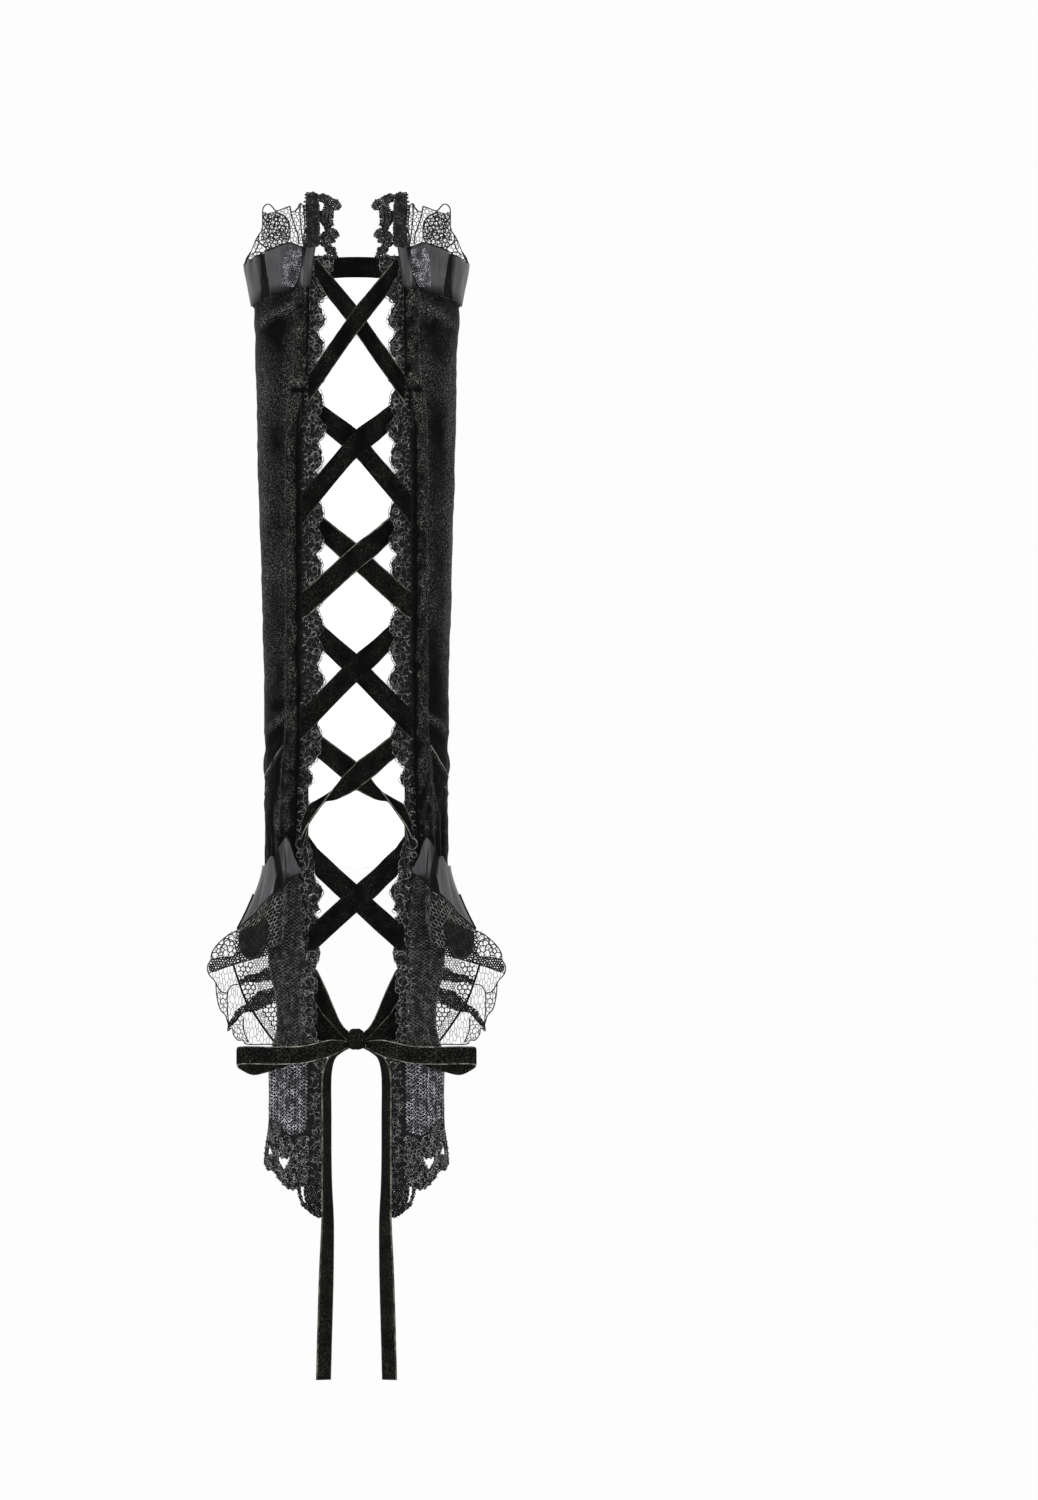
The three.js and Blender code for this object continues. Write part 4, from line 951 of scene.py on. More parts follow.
for side, word in SIDES.items():
    grid = edging_grid(side)
    ground = cloth(f"edging_ground_{word}", grid, EDGING_THICK, [CROCHET_GROUND])
    curls = edging_curls(side)
    for number, route in enumerate(LOBE_ROUTES):
        curls.append(curled(smoothed(route, 8), 1.8, 0.6, EDGING_LEVEL + 0.45, side, 101 + number))
    curls = threads(f"edging_curls_{word}", curls, CURL_THREAD, CROCHET_THREAD)
    rings = threads(f"edging_rings_{word}", edging_rings(side), RING_THREAD, CROCHET_THREAD)
    ropes = []
    for number, route in enumerate(ROPES):
        ropes += rope(route, side, 0.1 + 0.3 * math.sin(number * 2))
    ropes += [ring(out, z, radius, 0.6, side) for out, z, radius in ROPE_RINGS]
    ropes = threads(f"edging_ropes_{word}", ropes, 0.27, ROPE_THREAD, sides=6)
    filled = TOP_AREAS + [LAST_LOBE, OUTER_CURVE]
    walls = np.concatenate([net_over(area, 1.0, 0.3, 47) for area in filled])
    mass = on_front(side * walls[..., 0], walls[..., 1], -0.35)
    mass = threads(f"edging_mass_{word}", mass, 0.46, MASS_THREAD)
    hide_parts(f"edging_{word}")


# The standing tabs of dense crochet, and the satin strips that bind their lower ends

TAB = table(
    "z outer inner", (288.0, 22.4, 18.2), (282, 22.8, 17.6), (274, 22.6, 17.4), (265.4, 22.9, 17.6),
    (263.6, 22.9, 17.8))
BINDING = table(
    "z outer inner", (265.4, 23.2, 18.3), (257, 24.6, 19.6), (248.4, 27.2, 20.8), (243.6, 28.4, 21.6),
    (240.6, 28.4, 22.0))
TAB_LEVEL = 0.8
TAB_ROWS = 5
TAB_RINGS = (21.9, 20.8, 19.6, 18.5)


def strip_grid(side, made, columns, level):
    """A narrow upright strip's heights, its parts of the way across, and its points."""
    z = top_to_bottom(made, 40)
    outer, inner = eased(made, z, "outer", "inner")
    part = np.linspace(0, 1, columns)[None, :]
    return z, part, on_front(side * (outer + (inner - outer) * part), z, level(z, part))


for side, word in SIDES.items():
    _, _, grid = strip_grid(
        side, TAB, 7, lambda z, part: TAB_LEVEL + 0.2 * ripples(z, part * 5, 2.6, 41))
    core = cloth(f"tab_core_{word}", grid, 1.4, [CROCHET_GROUND])
    z_run = np.linspace(TAB["z"][-1], TAB["z"][0] + 0.2, 120)
    outer, inner = eased(TAB, z_run, "outer", "inner")
    rows = []
    for number, row in enumerate(np.linspace(0.04, 0.96, TAB_ROWS)):
        route = np.column_stack([outer + (inner - outer) * row, z_run])
        for lift in (0.75, -0.75):
            rows.append(curled(route, 1.7, 0.7, TAB_LEVEL + lift, side, 61 + number))
    rows += [ring(out, 287.9 + 0.35 * math.sin(out * 3), 0.6, TAB_LEVEL, side) for out in TAB_RINGS]
    threads(f"tab_curls_{word}", rows, 0.3, TAB_THREAD)
    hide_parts(f"tab_{word}")

    z, part, grid = strip_grid(
        side, BINDING, 13,
        lambda z, part: TAB_LEVEL - 0.4 + 0.4 * np.sin(np.pi * part) - 1.1 * ramp(z, 246, 242))
    # Painted shade: darker down both sides, where the strip turns away from the light, at its lower end,
    # where it tucks under, and a little all over.
    painted_side_shade = 0.55 * (2 * part - 1) ** 2 + 0.1 + 0.5 * ramp(z, 246, 242)
    strip = cloth(f"satin_binding_{word}", grid, 1.0, [GREY_SATIN], marks=dict(shade=painted_side_shade))
    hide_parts(f"binding_{word}")


# The pleated satin frill round the top, and the cord on its edge

FRILL_END, FRILL_END_Z = 22.7, 256.0
FRILL_SEAM = dict(front=244.8, back=232.5)
FRILL_EDGE = table(
    "degrees z", (26, 262.2), (32, 263.8), (37.5, 265.4), (42, 264.6), (50, 263.0), (56, 261.8),
    (62, 260.3), (70, 258.8), (80, 257.0), (90, 255.9), (110, 254.0), (180, 252.0))
FRILL_FLARE, FRILL_FRONT_HUG = 3.0, 0.55
PLEAT_DEPTH = 2.6
PLEAT_FOLDS = [55.7, 92.0, 125.0, 157.0]
FOLD_SLANT = 1.5
FOLD_BEFORE, FOLD_AFTER = 0.8, 8.5
SATIN_THICK = 0.8
FRILL_TUCK = 1.6


def front_to_back(heights, angle):
    return heights["back"] + (heights["front"] - heights["back"]) * frontness(angle)


def round_degrees(angle):
    angle = np.asarray(angle) % (2 * np.pi)
    return np.degrees(np.minimum(angle, 2 * np.pi - angle))


def frill_edge(angle):
    return eased(FRILL_EDGE, round_degrees(angle), "z")


def pleat_at(degrees, up):
    """How full the pleats stand, and how deep in a fold a place is, from 0 to 1."""
    stand, deep = 0.55, 0.0
    for top in PLEAT_FOLDS:
        fold = top - FOLD_SLANT * (1 - up)
        after = FOLD_AFTER * (1.1 - 0.35 * up)
        lip = np.exp(-np.clip((fold - degrees) / 13, 0, 9)) * (degrees <= fold)
        inside = ramp(degrees - fold, 0, FOLD_BEFORE) * (1 - ramp(degrees - fold - after, 0, 3))
        stand = stand + 0.45 * lip - 0.75 * inside
        deep = np.maximum(deep, inside)
    return stand, deep


def frill_level(angle, up):
    """The frill's flare and its pleats, tucked in at the front end."""
    degrees = round_degrees(angle)
    stand, _ = pleat_at(degrees, up)
    flare = FRILL_FLARE * (1 - FRILL_FRONT_HUG * frontness(angle)) * up
    pleats = PLEAT_DEPTH * (stand - 0.5) * (0.35 + 0.65 * up)
    return CLEAR + SATIN_THICK / 2 + flare + pleats - FRILL_TUCK * ramp(degrees, 31.5, 29)


def frill_angles(count):
    """Angles all the way round, with more of them at the pleats' folds."""
    first = angle_across(FRILL_END, FRILL_END_Z)
    half = np.linspace(first, np.pi, count)
    close = np.radians(np.arange(-2.4, 12, 0.5))
    half = np.unique(np.concatenate([half, (np.radians(PLEAT_FOLDS)[:, None] + close).ravel()]))
    half = half[(half >= first) & (half <= np.pi)]
    return np.concatenate([half, 2 * np.pi - half[-2::-1]])


frill_up = np.linspace(0, 1, 22)[:, None]
frill_round = frill_angles(120)[None, :]
frill_degrees = round_degrees(frill_round)
frill_z = front_to_back(FRILL_SEAM, frill_round) * (1 - frill_up) + frill_edge(frill_round) * frill_up
frill_wave = 0.25 * ripples(frill_round * 45, frill_z, 12, 61) * frill_up
frill_grid = round_arm(frill_round, frill_z, frill_level(frill_round, frill_up) + frill_wave)
_, frill_deep = pleat_at(frill_degrees, frill_up)
beside_binding = np.abs(frill_grid[..., 0]) - eased(BINDING, frill_z, "outer")
# Painted shade: in the pleats' folds, along the frill's foot by its seam, a little over its front part,
# beside the binding, and in a patch near the front end.
frill_shade = (
    0.9 * frill_deep + 0.6 * np.clip(1 - frill_up * 4, 0, 1) + 0.14 * (frill_degrees < 55)
    + 0.8 * hump(beside_binding, 0.8, 1.0) * (frill_degrees < 60)
    + 0.3 * hump(frill_degrees, 34, 3.5) * hump(frill_up, 0.4, 0.25))
frill = cloth("satin_frill", frill_grid, SATIN_THICK, [GREY_SATIN], marks=dict(shade=frill_shade))
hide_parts("top_frill")
threads("frill_edge_cord", [frill_grid[-1] + (0, 0, 0.15)], 0.4, CORD_THREAD, sides=6)


# The net lace that stands on the frill: tall at the front, a low edge round the back

LACE_TOP = table(
    "degrees tall lean",
    (26, 19.6, 0.8), (31, 19.9, 0.8), (34, 16.7, 0.8), (36.5, 14.4, 0.8), (38, 16.4, 0.8),
    (42.6, 16.4, 0.8), (46, 16.3, 0.8), (50, 16.8, 0.8), (56, 17.6, 0.8), (60.6, 18.6, 0.9),
    (62.5, 15.3, 1.7), (66, 13.0, 3.3), (70, 10.8, 3.8), (75, 9.7, 3.8), (80, 8.6, 3.6),
    (85, 5.6, 2.5), (90, 3.0, 1.2), (100, 2.4, 0.2), (180, 3.0, -0.6))
LACE_MOTIF = [
    (43, 279.7), (39.8, 279), (36.1, 279.9), (32.9, 277.8), (30.6, 274.6), (30.6, 267.7),
    (32.4, 265.7), (37, 264), (40.7, 262.9), (42.6, 264), (43.7, 267.7), (43.5, 273.7)]
LACE_BAYS = [
    [(36.1, 279.9), (33.8, 281.1), (30.6, 282.2), (30.6, 274.6), (32.9, 277.8)],
    [(30.6, 279.7), (27.8, 281.1), (26, 283.1), (23.2, 282.7), (22.8, 262.7), (26, 263.6),
     (30.6, 265.4)],
    [(43.3, 272.2), (46.2, 267.3), (48.5, 260.4), (51.3, 256.2), (46.0, 259.6), (43.0, 261.8)]]
LACE_CORDS = [
    [(51.3, 256), (48.5, 257.6), (43.5, 261.1), (40.7, 262.2), (35.2, 263.8), (32.9, 265),
     (30.6, 265.7), (27.8, 264.5), (23.7, 262.9)],
    [(51.3, 256.7), (49.9, 259), (48.5, 262.2), (46.7, 266.8), (45.1, 269.6), (43.5, 271.9),
     (43.3, 276), (43.3, 280.1), (42.9, 282.2), (41.6, 283.4), (40, 283.3), (38.6, 282),
     (37.5, 280.6), (36.1, 280.4), (33.8, 281.2), (32, 281.9), (30.6, 282.3)],
    [(30.6, 282.3), (30.1, 279.9), (28.5, 279.7), (27.1, 281.3), (25.8, 283.6), (24.6, 282.7),
     (23, 282.9)],
    [(43, 279.9), (41.2, 279), (38.9, 279.4), (36.6, 280.1)],
    [(25.8, 283.4), (26, 278.3), (25.5, 272.3), (24.8, 266.8), (24.2, 263.1)],
    [(30.5, 282), (29.9, 277.8), (28.3, 273.2), (26.9, 268.6), (26.5, 264.5)],
    [(36.6, 279.7), (33.4, 277.8), (31.1, 275.1), (30.6, 271.4), (30.8, 267.7), (32.4, 265.4)],
    [(43.2, 278.8), (41.6, 275.5), (38.9, 276.9), (35.6, 277.8)],
    [(43.7, 270), (41.6, 267.7), (39.3, 268.6), (37.5, 266.8), (35.2, 268.2), (32.4, 267.3)],
    [(46.2, 267.3), (43.5, 265), (41.2, 262.7)],
    [(48.5, 260.4), (46.2, 261.7), (43.5, 261.3)],
    [(44.9, 270), (45.3, 265.4), (46.7, 261.7)],
    [(24.4, 282.9), (24.2, 278.8), (23.7, 273.2), (24.2, 267.7), (23.7, 263.6)]]
# The middles of small rings in the motif, and the threads of the same lace that lie over the satin
PETALS = [
    (41.6, 274.6), (38.9, 273.2), (41.2, 271.4), (36.6, 274.2), (33.8, 271.9), (36.1, 270),
    (39.3, 268.6), (33.4, 268.4), (41.6, 277.8), (37, 276.9)]
PETAL = 1.25
LACE_ON_SATIN = [(25.2, 262.0), (31.6, 264.6), (34.0, 257.0), (34.2, 246.0), (29.0, 245.0), (25.6, 252.0)]
LACE_START = float(np.degrees(angle_across(FRILL_END, FRILL_END_Z)))
LACE_SIDES_FROM = 84.0
LACE_SEWN_ABOVE = 0.4
# Millimetres round the arm for a degree
ROUND_MM = 0.84


def lace_place(side, degrees, up):
    """A point of the top lace, by its angle round from the front and its part of the height."""
    degrees = np.clip(degrees, LACE_START, 180)
    angle = np.radians(degrees)
    tall, lean = eased(LACE_TOP, degrees, "tall", "lean")
    z = frill_edge(angle) + LACE_SEWN_ABOVE + tall * up
    return round_arm(angle, z, frill_level(angle, 1) - lean * up) * (side, 1, 1)


def lace_seen(side, out, z):
    """The lace's point that shows at a place from the front, found by trying nearer and nearer."""
    degrees = np.clip(out, 20, 50) * 1.3
    for _ in range(14):
        angle = np.radians(degrees)
        tall, lean = eased(LACE_TOP, degrees, "tall", "lean")
        up = np.clip((z - frill_edge(angle) - LACE_SEWN_ABOVE) / tall, 0, 1.3)
        reach = eased(FORM, z, "half_width") + frill_level(angle, 1) - lean * up
        degrees = 0.5 * degrees + 0.5 * np.degrees(np.arcsin(np.clip(out / reach, -1, 1)))
    angle = np.radians(degrees)
    y = -(eased(FORM, z, "half_depth") + frill_level(angle, 1) - lean * up) * np.cos(angle)
    return np.stack([side * out, y, z + 0 * out], axis=-1)


def top_net(side, area, spacing, jitter, seed):
    walls = net_over(area, spacing, jitter, seed)
    return lace_seen(side, walls[..., 0], walls[..., 1])


def on_frill(side, out, z, lift):
    """A point on the satin's face, by where it shows from the front."""
    angle = angle_across(out, z)
    seam, edge = front_to_back(FRILL_SEAM, angle), frill_edge(angle)
    up = np.clip((z - seam) / (edge - seam), 0, 1)
    level = frill_level(angle, up) + lift
    angle = np.arcsin(np.clip(out / (eased(FORM, z, "half_width") + level), -1, 1))
    return round_arm(angle, z, level) * (side, 1, 1)


def lace_tall(along):
    """The lace's height by its way round from the front, in mm."""
    return eased(LACE_TOP, along / ROUND_MM, "tall")


top_lace_pieces = []
for side in SIDES:
    sides_from = LACE_SIDES_FROM * ROUND_MM
    walls = net_walls(sides_from, 0, 180 * ROUND_MM, 16, 2.2, 0.33, 72)
    walls = kept(walls, lambda u, v: (v > 0) & (v < lace_tall(u) - 0.2) & (u > sides_from))
    up = np.clip(walls[..., 1] / lace_tall(walls[..., 0]), 0, 1)
    sides = lace_place(side, walls[..., 0] / ROUND_MM, up)
    bays = np.concatenate([top_net(side, area, 1.9, 0.36, 71) for area in LACE_BAYS])
    motif = top_net(side, LACE_MOTIF, 1.9, 0.34, 73)
    filling = top_net(side, LACE_MOTIF, 1.05, 0.5, 74)
    rest = np.arange(88, 180, 0.7)
    cords = [lace_place(side, rest, 1.0 + 0 * rest), lace_place(side, rest, 0.02 + 0 * rest)]
    for route in LACE_CORDS:
        line = evenly(smoothed(route, 8), 0.5)
        cords.append(lace_seen(side, line[:, 0], line[:, 1]))
    around = np.linspace(0, 2 * np.pi, 13)
    for out, z in PETALS:
        cords.append(lace_seen(side, out + PETAL * np.cos(around), z + PETAL * np.sin(around)))
    walls = net_over(LACE_ON_SATIN, 0.85, 0.42, 74)
    pale = on_frill(side, walls[..., 0], walls[..., 1], 0.65)
    top_lace_pieces += [
        threads(f"net_{side}", bays, 0.16, NET_THREAD),
        threads(f"side_net_{side}", sides, 0.24, NET_THREAD),
        threads(f"motif_{side}", motif, 0.3, NET_THREAD),
        threads(f"motif_filling_{side}", filling, 0.17, LACE_THREAD),
        threads(f"cords_{side}", cords, 0.3, NET_THREAD),
        threads(f"over_satin_{side}", pale, 0.11, LACE_THREAD)]
top_lace = joined("net_lace_top", top_lace_pieces)
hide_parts("top_lace")


# The wrist flounces

FLOUNCE = table(
    "degrees seam drop flare wave",
    (36.5, -22.8, 2.0, 1.0, 0.0), (38.7, -20.8, 5.2, 1.4, 0.2), (42, -16.6, 11.2, 1.9, 0.7),
    (45.8, -9.8, 20.4, 2.3, 1.1), (48.2, -7.8, 23.4, 2.3, 0.8), (51.6, -9.8, 22.2, 2.1, 0.4),
    (55, -12.6, 20.6, 2.3, 0.4), (59, -16.2, 19.0, 2.8, 0.8), (62, -16.8, 20.4, 3.0, 1.0),
    (66, -16.7, 21.8, 3.4, 0.6), (70, -19.0, 21.2, 4.2, 0.2), (74, -20.6, 21.2, 4.6, -0.2),
    (76, -21.1, 22.6, 5.6, 0.0), (84, -21.2, 27.2, 9.4, 0.0), (90, -21.2, 29.0, 11.0, 0.0),
    (98, -21.2, 29.2, 11.2, 0.8), (107, -21.2, 29.0, 10.8, -0.8), (116, -21.2, 28.8, 10.0, 0.8),
    (125, -21.2, 27.8, 8.8, -0.6), (135, -21.2, 26.8, 7.2, 0.0))
FLOUNCE_FIRST, FLOUNCE_LAST = 36.5, 135
FLOUNCE_CURVE = 1.4
HEM_CORD_FROM = 74.0
FLOUNCE_SEAM_RISE = 0.9


def flounce_fold(degrees, down):
    """1 in the middle of the deep fold, which slants in towards the hem."""
    return np.exp(-(((degrees - 59.5 + 10.5 * down) / 3.0) ** 4))


def flounce_place(side, degrees, down, below=0.0, bulge=0.0):
    """A point of the flounce, or of what hangs so far below it and stands so far out from it."""
    seam, drop = between(FLOUNCE, degrees, "seam", "drop")
    flare, wave = eased(FLOUNCE, degrees, "flare", "wave")
    level = CLEAR + FLOUNCE_SEAM_RISE + down ** FLOUNCE_CURVE * (flare + wave) + bulge
    level = level - 1.8 * flounce_fold(degrees, down) * down ** 0.6
    return round_arm(side * np.radians(degrees), seam - drop * down - below, level)


for side, word in SIDES.items():
    down = np.linspace(0, 1, 26)[:, None]
    degrees = np.linspace(FLOUNCE_FIRST, FLOUNCE_LAST, 180)[None, :]
    grid = flounce_place(side, degrees, down)
    # Painted shade: in the deep fold, along a thin slit, and over the front petal, more towards its hem and
    # on its outer part.
    painted_fold_shade = 0.95 * flounce_fold(degrees, down)
    painted_slit_shade = 0.7 * hump(degrees + 7 * down, 50.4, 0.7) * np.sin(np.pi * np.clip(down * 1.4 - 0.2, 0, 1))
    near_hem = np.clip((down - 0.7 + 0.014 * (degrees - 43)) * 3.2, 0, 1)
    low = (0.1 + 0.85 * near_hem + 0.3 * ramp(degrees, 49, 52)) * (degrees < 56)
    flounce = cloth(f"satin_flounce_{word}", grid, SATIN_THICK, [GREY_SATIN],
                    marks=dict(shade=painted_fold_shade + painted_slit_shade + low))
    at_side = flounce_place(side, 90.0, np.linspace(0.45, 1, 20), 0.0, 0.9)
    hem = threads(f"flounce_cord_{word}", [grid[-1, degrees[0] > HEM_CORD_FROM], at_side], 0.4,
                  CORD_THREAD, sides=6)
    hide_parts(f"flounce_{word}")


# The honeycomb lace that hangs from the flounce's hem. Its part at the side is folded double, and its
# threads there are drawn darker as painted shade; its front strip is drawn in the shaded thread

TIER = table(
    "degrees drop bulge",
    (43, 17.0, 0.0), (46, 21.5, 0.6), (50, 24.6, 0.2), (54, 24.8, 0.6), (58, 23.6, 0.2),
    (62, 20.8, 0.8), (66, 21.2, 0.0), (70, 22.6, 0.6), (73, 21.4, 0.0), (76, 20.0, 0.0),
    (80, 16.8, 0.3), (84, 13.0, 0.0), (88, 7.0, 0.0))
TIER_FIRST, TIER_LAST = 43, 88
TIER_CLEAR = 0.8
# Millimetres round the arm for a degree, and the height that the honeycomb is drawn at
TIER_MM, TIER_HIGH = 0.74, 26.0
TIER_LIT_FROM = 47.5


def tier_place(side, degrees, down, lift=0.0):
    """A point of the hanging lace, by its angle round from the front and its part of the drop."""
    drop, bulge = between(TIER, degrees, "drop", "bulge")
    return flounce_place(side, degrees, 1.0, TIER_CLEAR + drop * down, bulge * down + lift)


for side, word in SIDES.items():
    down = np.linspace(0, 1, 24)[:, None]
    degrees = np.linspace(TIER_FIRST, TIER_LAST, 64)[None, :]
    grid = tier_place(side, degrees, down)
    ground = cloth(f"tier_ground_{word}", grid, 0.4, [LACE_GROUND])
    first, last = TIER_FIRST * TIER_MM, TIER_LAST * TIER_MM
    walls = net_walls(first, 0, last, TIER_HIGH, 2.1, 0.14, 81)
    margin = 0.3 * TIER_MM
    walls = kept(walls, lambda u, v: (
        (u > first + margin) & (u < last - margin) & (v > 0.6) & (v < TIER_HIGH)))
    turn = walls[..., 0] / TIER_MM
    placed = tier_place(side, turn, np.clip(walls[..., 1] / TIER_HIGH, 0, 1), 0.4)
    out, z = np.abs(placed[:, 0, 0]), placed[:, 0, 2]
    shaded = turn[:, 0] <= TIER_LIT_FROM
    doubled = (out > 41.2) & (z < -45.8 - 0.5 * (out - 42.5))
    around = np.linspace(TIER_FIRST, TIER_LAST, 120)
    hem = tier_place(side, around, 0.985 + 0.012 * np.sin(around * 2.4), 0.45)
    comb = threads(f"tier_honeycomb_{word}", placed[~shaded & ~doubled], 0.18, TIER_LACE)
    folded = threads(f"tier_fold_{word}", placed[doubled], 0.22, FOLDED_SHADED_LACE)
    edge = threads(f"tier_edge_{word}", [hem] + list(placed[shaded]), 0.2, SHADED_LACE)
    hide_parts(f"tier_{word}")


# The hand panels: fine lace over the back of the hand, with scalloped hems

HAND_LEVEL = -0.6
HAND_PANEL = table(
    "z outer inner",
    (-22.5, 39.6, 27.6), (-40, 40.2, 25.8), (-58, 41.4, 24.4), (-70, 40.2, 23.9), (-80, 38.0, 23.6),
    (-88, 37.0, 23.4), (-98, 37.4, 23.2), (-107, 40.0, 22.6), (-128, 40.6, 22.6), (-142, 41.0, 22.6),
    (-150, 42.2, 22.6), (-158, 43.0, 22.6))
HEM = table(
    "part z", (0, -159.0), (0.04, -160.8), (0.12, -161.6), (0.18, -161.6), (0.25, -164.0),
    (0.35, -166.8), (0.45, -169.2), (0.57, -170.4), (0.74, -169.4), (0.85, -168.0), (1, -166.6))
PANEL_TOP = -22.5
PANEL_THICK = 0.4
PANEL_TUCK = 1.8
WALES = 13
WALE_STITCH = 1.7
SHADED_DOWN_TO = -104.0


def panel_out(part, z):
    """How far out the panel is, from its outer edge at 0 to its inner edge, under the edging."""
    outer, inner = eased(HAND_PANEL, z, "outer", "inner")
    return outer + (inner - PANEL_TUCK - outer) * part


def panel_place(side, part, down, lift=0.0):
    """A point of the panel, by its part of the way in and down."""
    bottom = eased(HEM, part, "z") + 0.45 * np.sin(part * 60)
    z = PANEL_TOP + (bottom - PANEL_TOP) * down
    gather = 0.45 * hump(z, -34, 20) * np.sin(part * 34)
    under = 0.75 * ramp(part, 0.84, 0.96)
    return on_front(side * panel_out(part, z), z, HAND_LEVEL + gather * (1 - under) - under + lift)


def in_cut(part, z):
    """The two pierced places above the hem: a small triangle, and a V between two scallops."""
    triangle = (part > 0.07) & (part < 0.18) & (z > -154.2) & (z < -150.2 - (part - 0.07) * 32)
    v_shape = (np.abs(part - 0.41) < 0.022 * (z + 161.4)) & (z > -161.2) & (z < -155.6)
    return triangle | v_shape


def unbroken(line, is_open):
    """The stretches of a line that stay clear of the pierced places."""
    breaks = np.flatnonzero(np.diff(is_open.astype(int))) + 1
    runs = np.split(np.arange(len(line)), breaks)
    return [line[run] for run in runs if len(run) > 3 and not is_open[run[1]]]


def wale(side, part):
    """A column of looped stitches down the panel, broken where the lace is pierced."""
    down = np.linspace(0.004, 0.83, 800)
    z = PANEL_TOP + (eased(HEM, np.full(down.shape, part), "z") - PANEL_TOP) * down
    turn = (PANEL_TOP - z) * 2 * math.pi / WALE_STITCH + part * 40
    shaded = z > SHADED_DOWN_TO
    swing, loose = np.where(shaded, 0.034, 0.027), np.where(shaded, 0.014, 0.006)
    sway = part + swing * np.sin(turn) + loose * ripples(z, 0 * z, 6, int(part * 90))
    return unbroken(panel_place(side, sway, down, 0.32 + 0.1 * np.cos(turn)), in_cut(sway, z))


# Threads round the pierced places, as (part, z)
CUT_BORDERS = [
    [(0.05, -154.8), (0.21, -154.8), (0.06, -149.6), (0.05, -154.8)],
    [(0.39, -162.0), (0.43, -162.0), (0.56, -155.2), (0.26, -155.2), (0.39, -162.0)]]
PANEL_WIDE = 18


def cut_border(side, corners):
    part, z = (evenly(np.array(corners) * (PANEL_WIDE, 1), 0.6) / (PANEL_WIDE, 1)).T
    return panel_place(side, part, (z - PANEL_TOP) / (eased(HEM, part, "z") - PANEL_TOP), 0.3)


# How far above the hem the curls of its crocheted flowers run, in mm
HEM_CURLS = [0.7, 2.3, 4.1, 6.0, 8.0, 10.0, 12.0, 14.0, 16.0, 18.0, 20.0, 22.0]


def hem_curls(side, back, number):
    """Curled threads that follow the hem, broken where the lace is pierced."""
    part = np.linspace(0.035, 0.93, 300)
    z = eased(HEM, part, "z") + back + 0.9 * np.sin(part * 21 + number) * (number > 0)
    route = np.column_stack([panel_out(part, z), z])
    run = curled(route, 1.9, 0.85 if number else 0.6, HAND_LEVEL + 0.4, side, 121 + number)
    outer, inner = eased(HAND_PANEL, run[:, 2], "outer", "inner")
    part = (outer - np.abs(run[:, 0])) / (outer - inner + PANEL_TUCK)
    return unbroken(run, in_cut(part, run[:, 2]))


for side, word in SIDES.items():
    down = np.linspace(0, 1, 150)[:, None]
    part = np.linspace(0, 1, 48)[None, :]
    grid = panel_place(side, part, down)
    cell_part = (part[0, 1:] + part[0, :-1]) / 2
    cell_z = (grid[1:, :, 2] + grid[:-1, :, 2]) / 2
    ground = cloth(f"hand_lace_ground_{word}", grid, PANEL_THICK, [LACE_GROUND],
                   is_open=lambda i, j: bool(in_cut(cell_part[j], cell_z[i, j])))
    wales = [run for column in np.linspace(0.03, 0.86, WALES) for run in wale(side, column)]
    shaded = [run[run[:, 2] > SHADED_DOWN_TO] for run in wales]
    lit = [run[run[:, 2] <= SHADED_DOWN_TO] for run in wales]
    above = threads(f"hand_lace_shaded_{word}", [run for run in shaded if len(run) > 3], 0.2,
                    SHADED_LACE)
    below = threads(f"hand_lace_wales_{word}", [run for run in lit if len(run) > 3], 0.2,
                    LACE_THREAD)
    cords = [panel_place(side, part, np.linspace(0.3, 1, 90), 0.25) for part in (0.0, 0.035)]
    cords += [cut_border(side, corners) for corners in CUT_BORDERS]
    for number, back in enumerate(HEM_CURLS):
        cords += hem_curls(side, back, number)
    cords = threads(f"hand_lace_cords_{word}", cords, 0.19, HEM_THREAD)
    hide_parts(f"hand_panel_{word}")


# The net lace that fans out beside the hand. It is drawn as it shows from the front, in (out, z),
# and each thread takes its depth from the fan's ribs

FAN = table(
    "root tip_out tip_y tip_z",
    (-53.0, 55.6, 4.0, -52.2), (-58.0, 64.4, 6.0, -57.8), (-64.0, 68.5, -2.0, -68.0),
    (-71.0, 65.8, 3.0, -74.5), (-77.5, 64.4, -4.0, -81.0), (-83.5, 63.0, 3.0, -88.5),
    (-89.0, 59.4, -2.0, -96.5), (-95.0, 53.4, 4.0, -101.5), (-101.5, 45.0, -2.0, -103.4))
FAN_SEAM = 0.85
FAN_OUTLINE = [
    (40.0, -48.0), (48.0, -47.6), (55.4, -51.3), (59.4, -53.3), (64.4, -57.8), (66.8, -61.6),
    (67.2, -64.7), (68.4, -66.6), (68.8, -68.9), (67.9, -71.6), (65.1, -75.0), (64.7, -78.8),
    (64.0, -83.7), (62.8, -87.6), (60.5, -90.2), (59.6, -92.9), (59.1, -95.0), (59.4, -97.5),
    (57.3, -96.0), (56.8, -98.9), (54.8, -101.7), (52.2, -101.7), (50.2, -103.6), (37.0, -103.4),
    (36.6, -84.0), (38.4, -78.0), (40.2, -66.0)]
CORD_LINE = [(56.7, -67.0), (54.5, -74.2), (50.6, -84.5), (47.6, -88.7), (43.0, -95.6), (38.4, -101.7)]
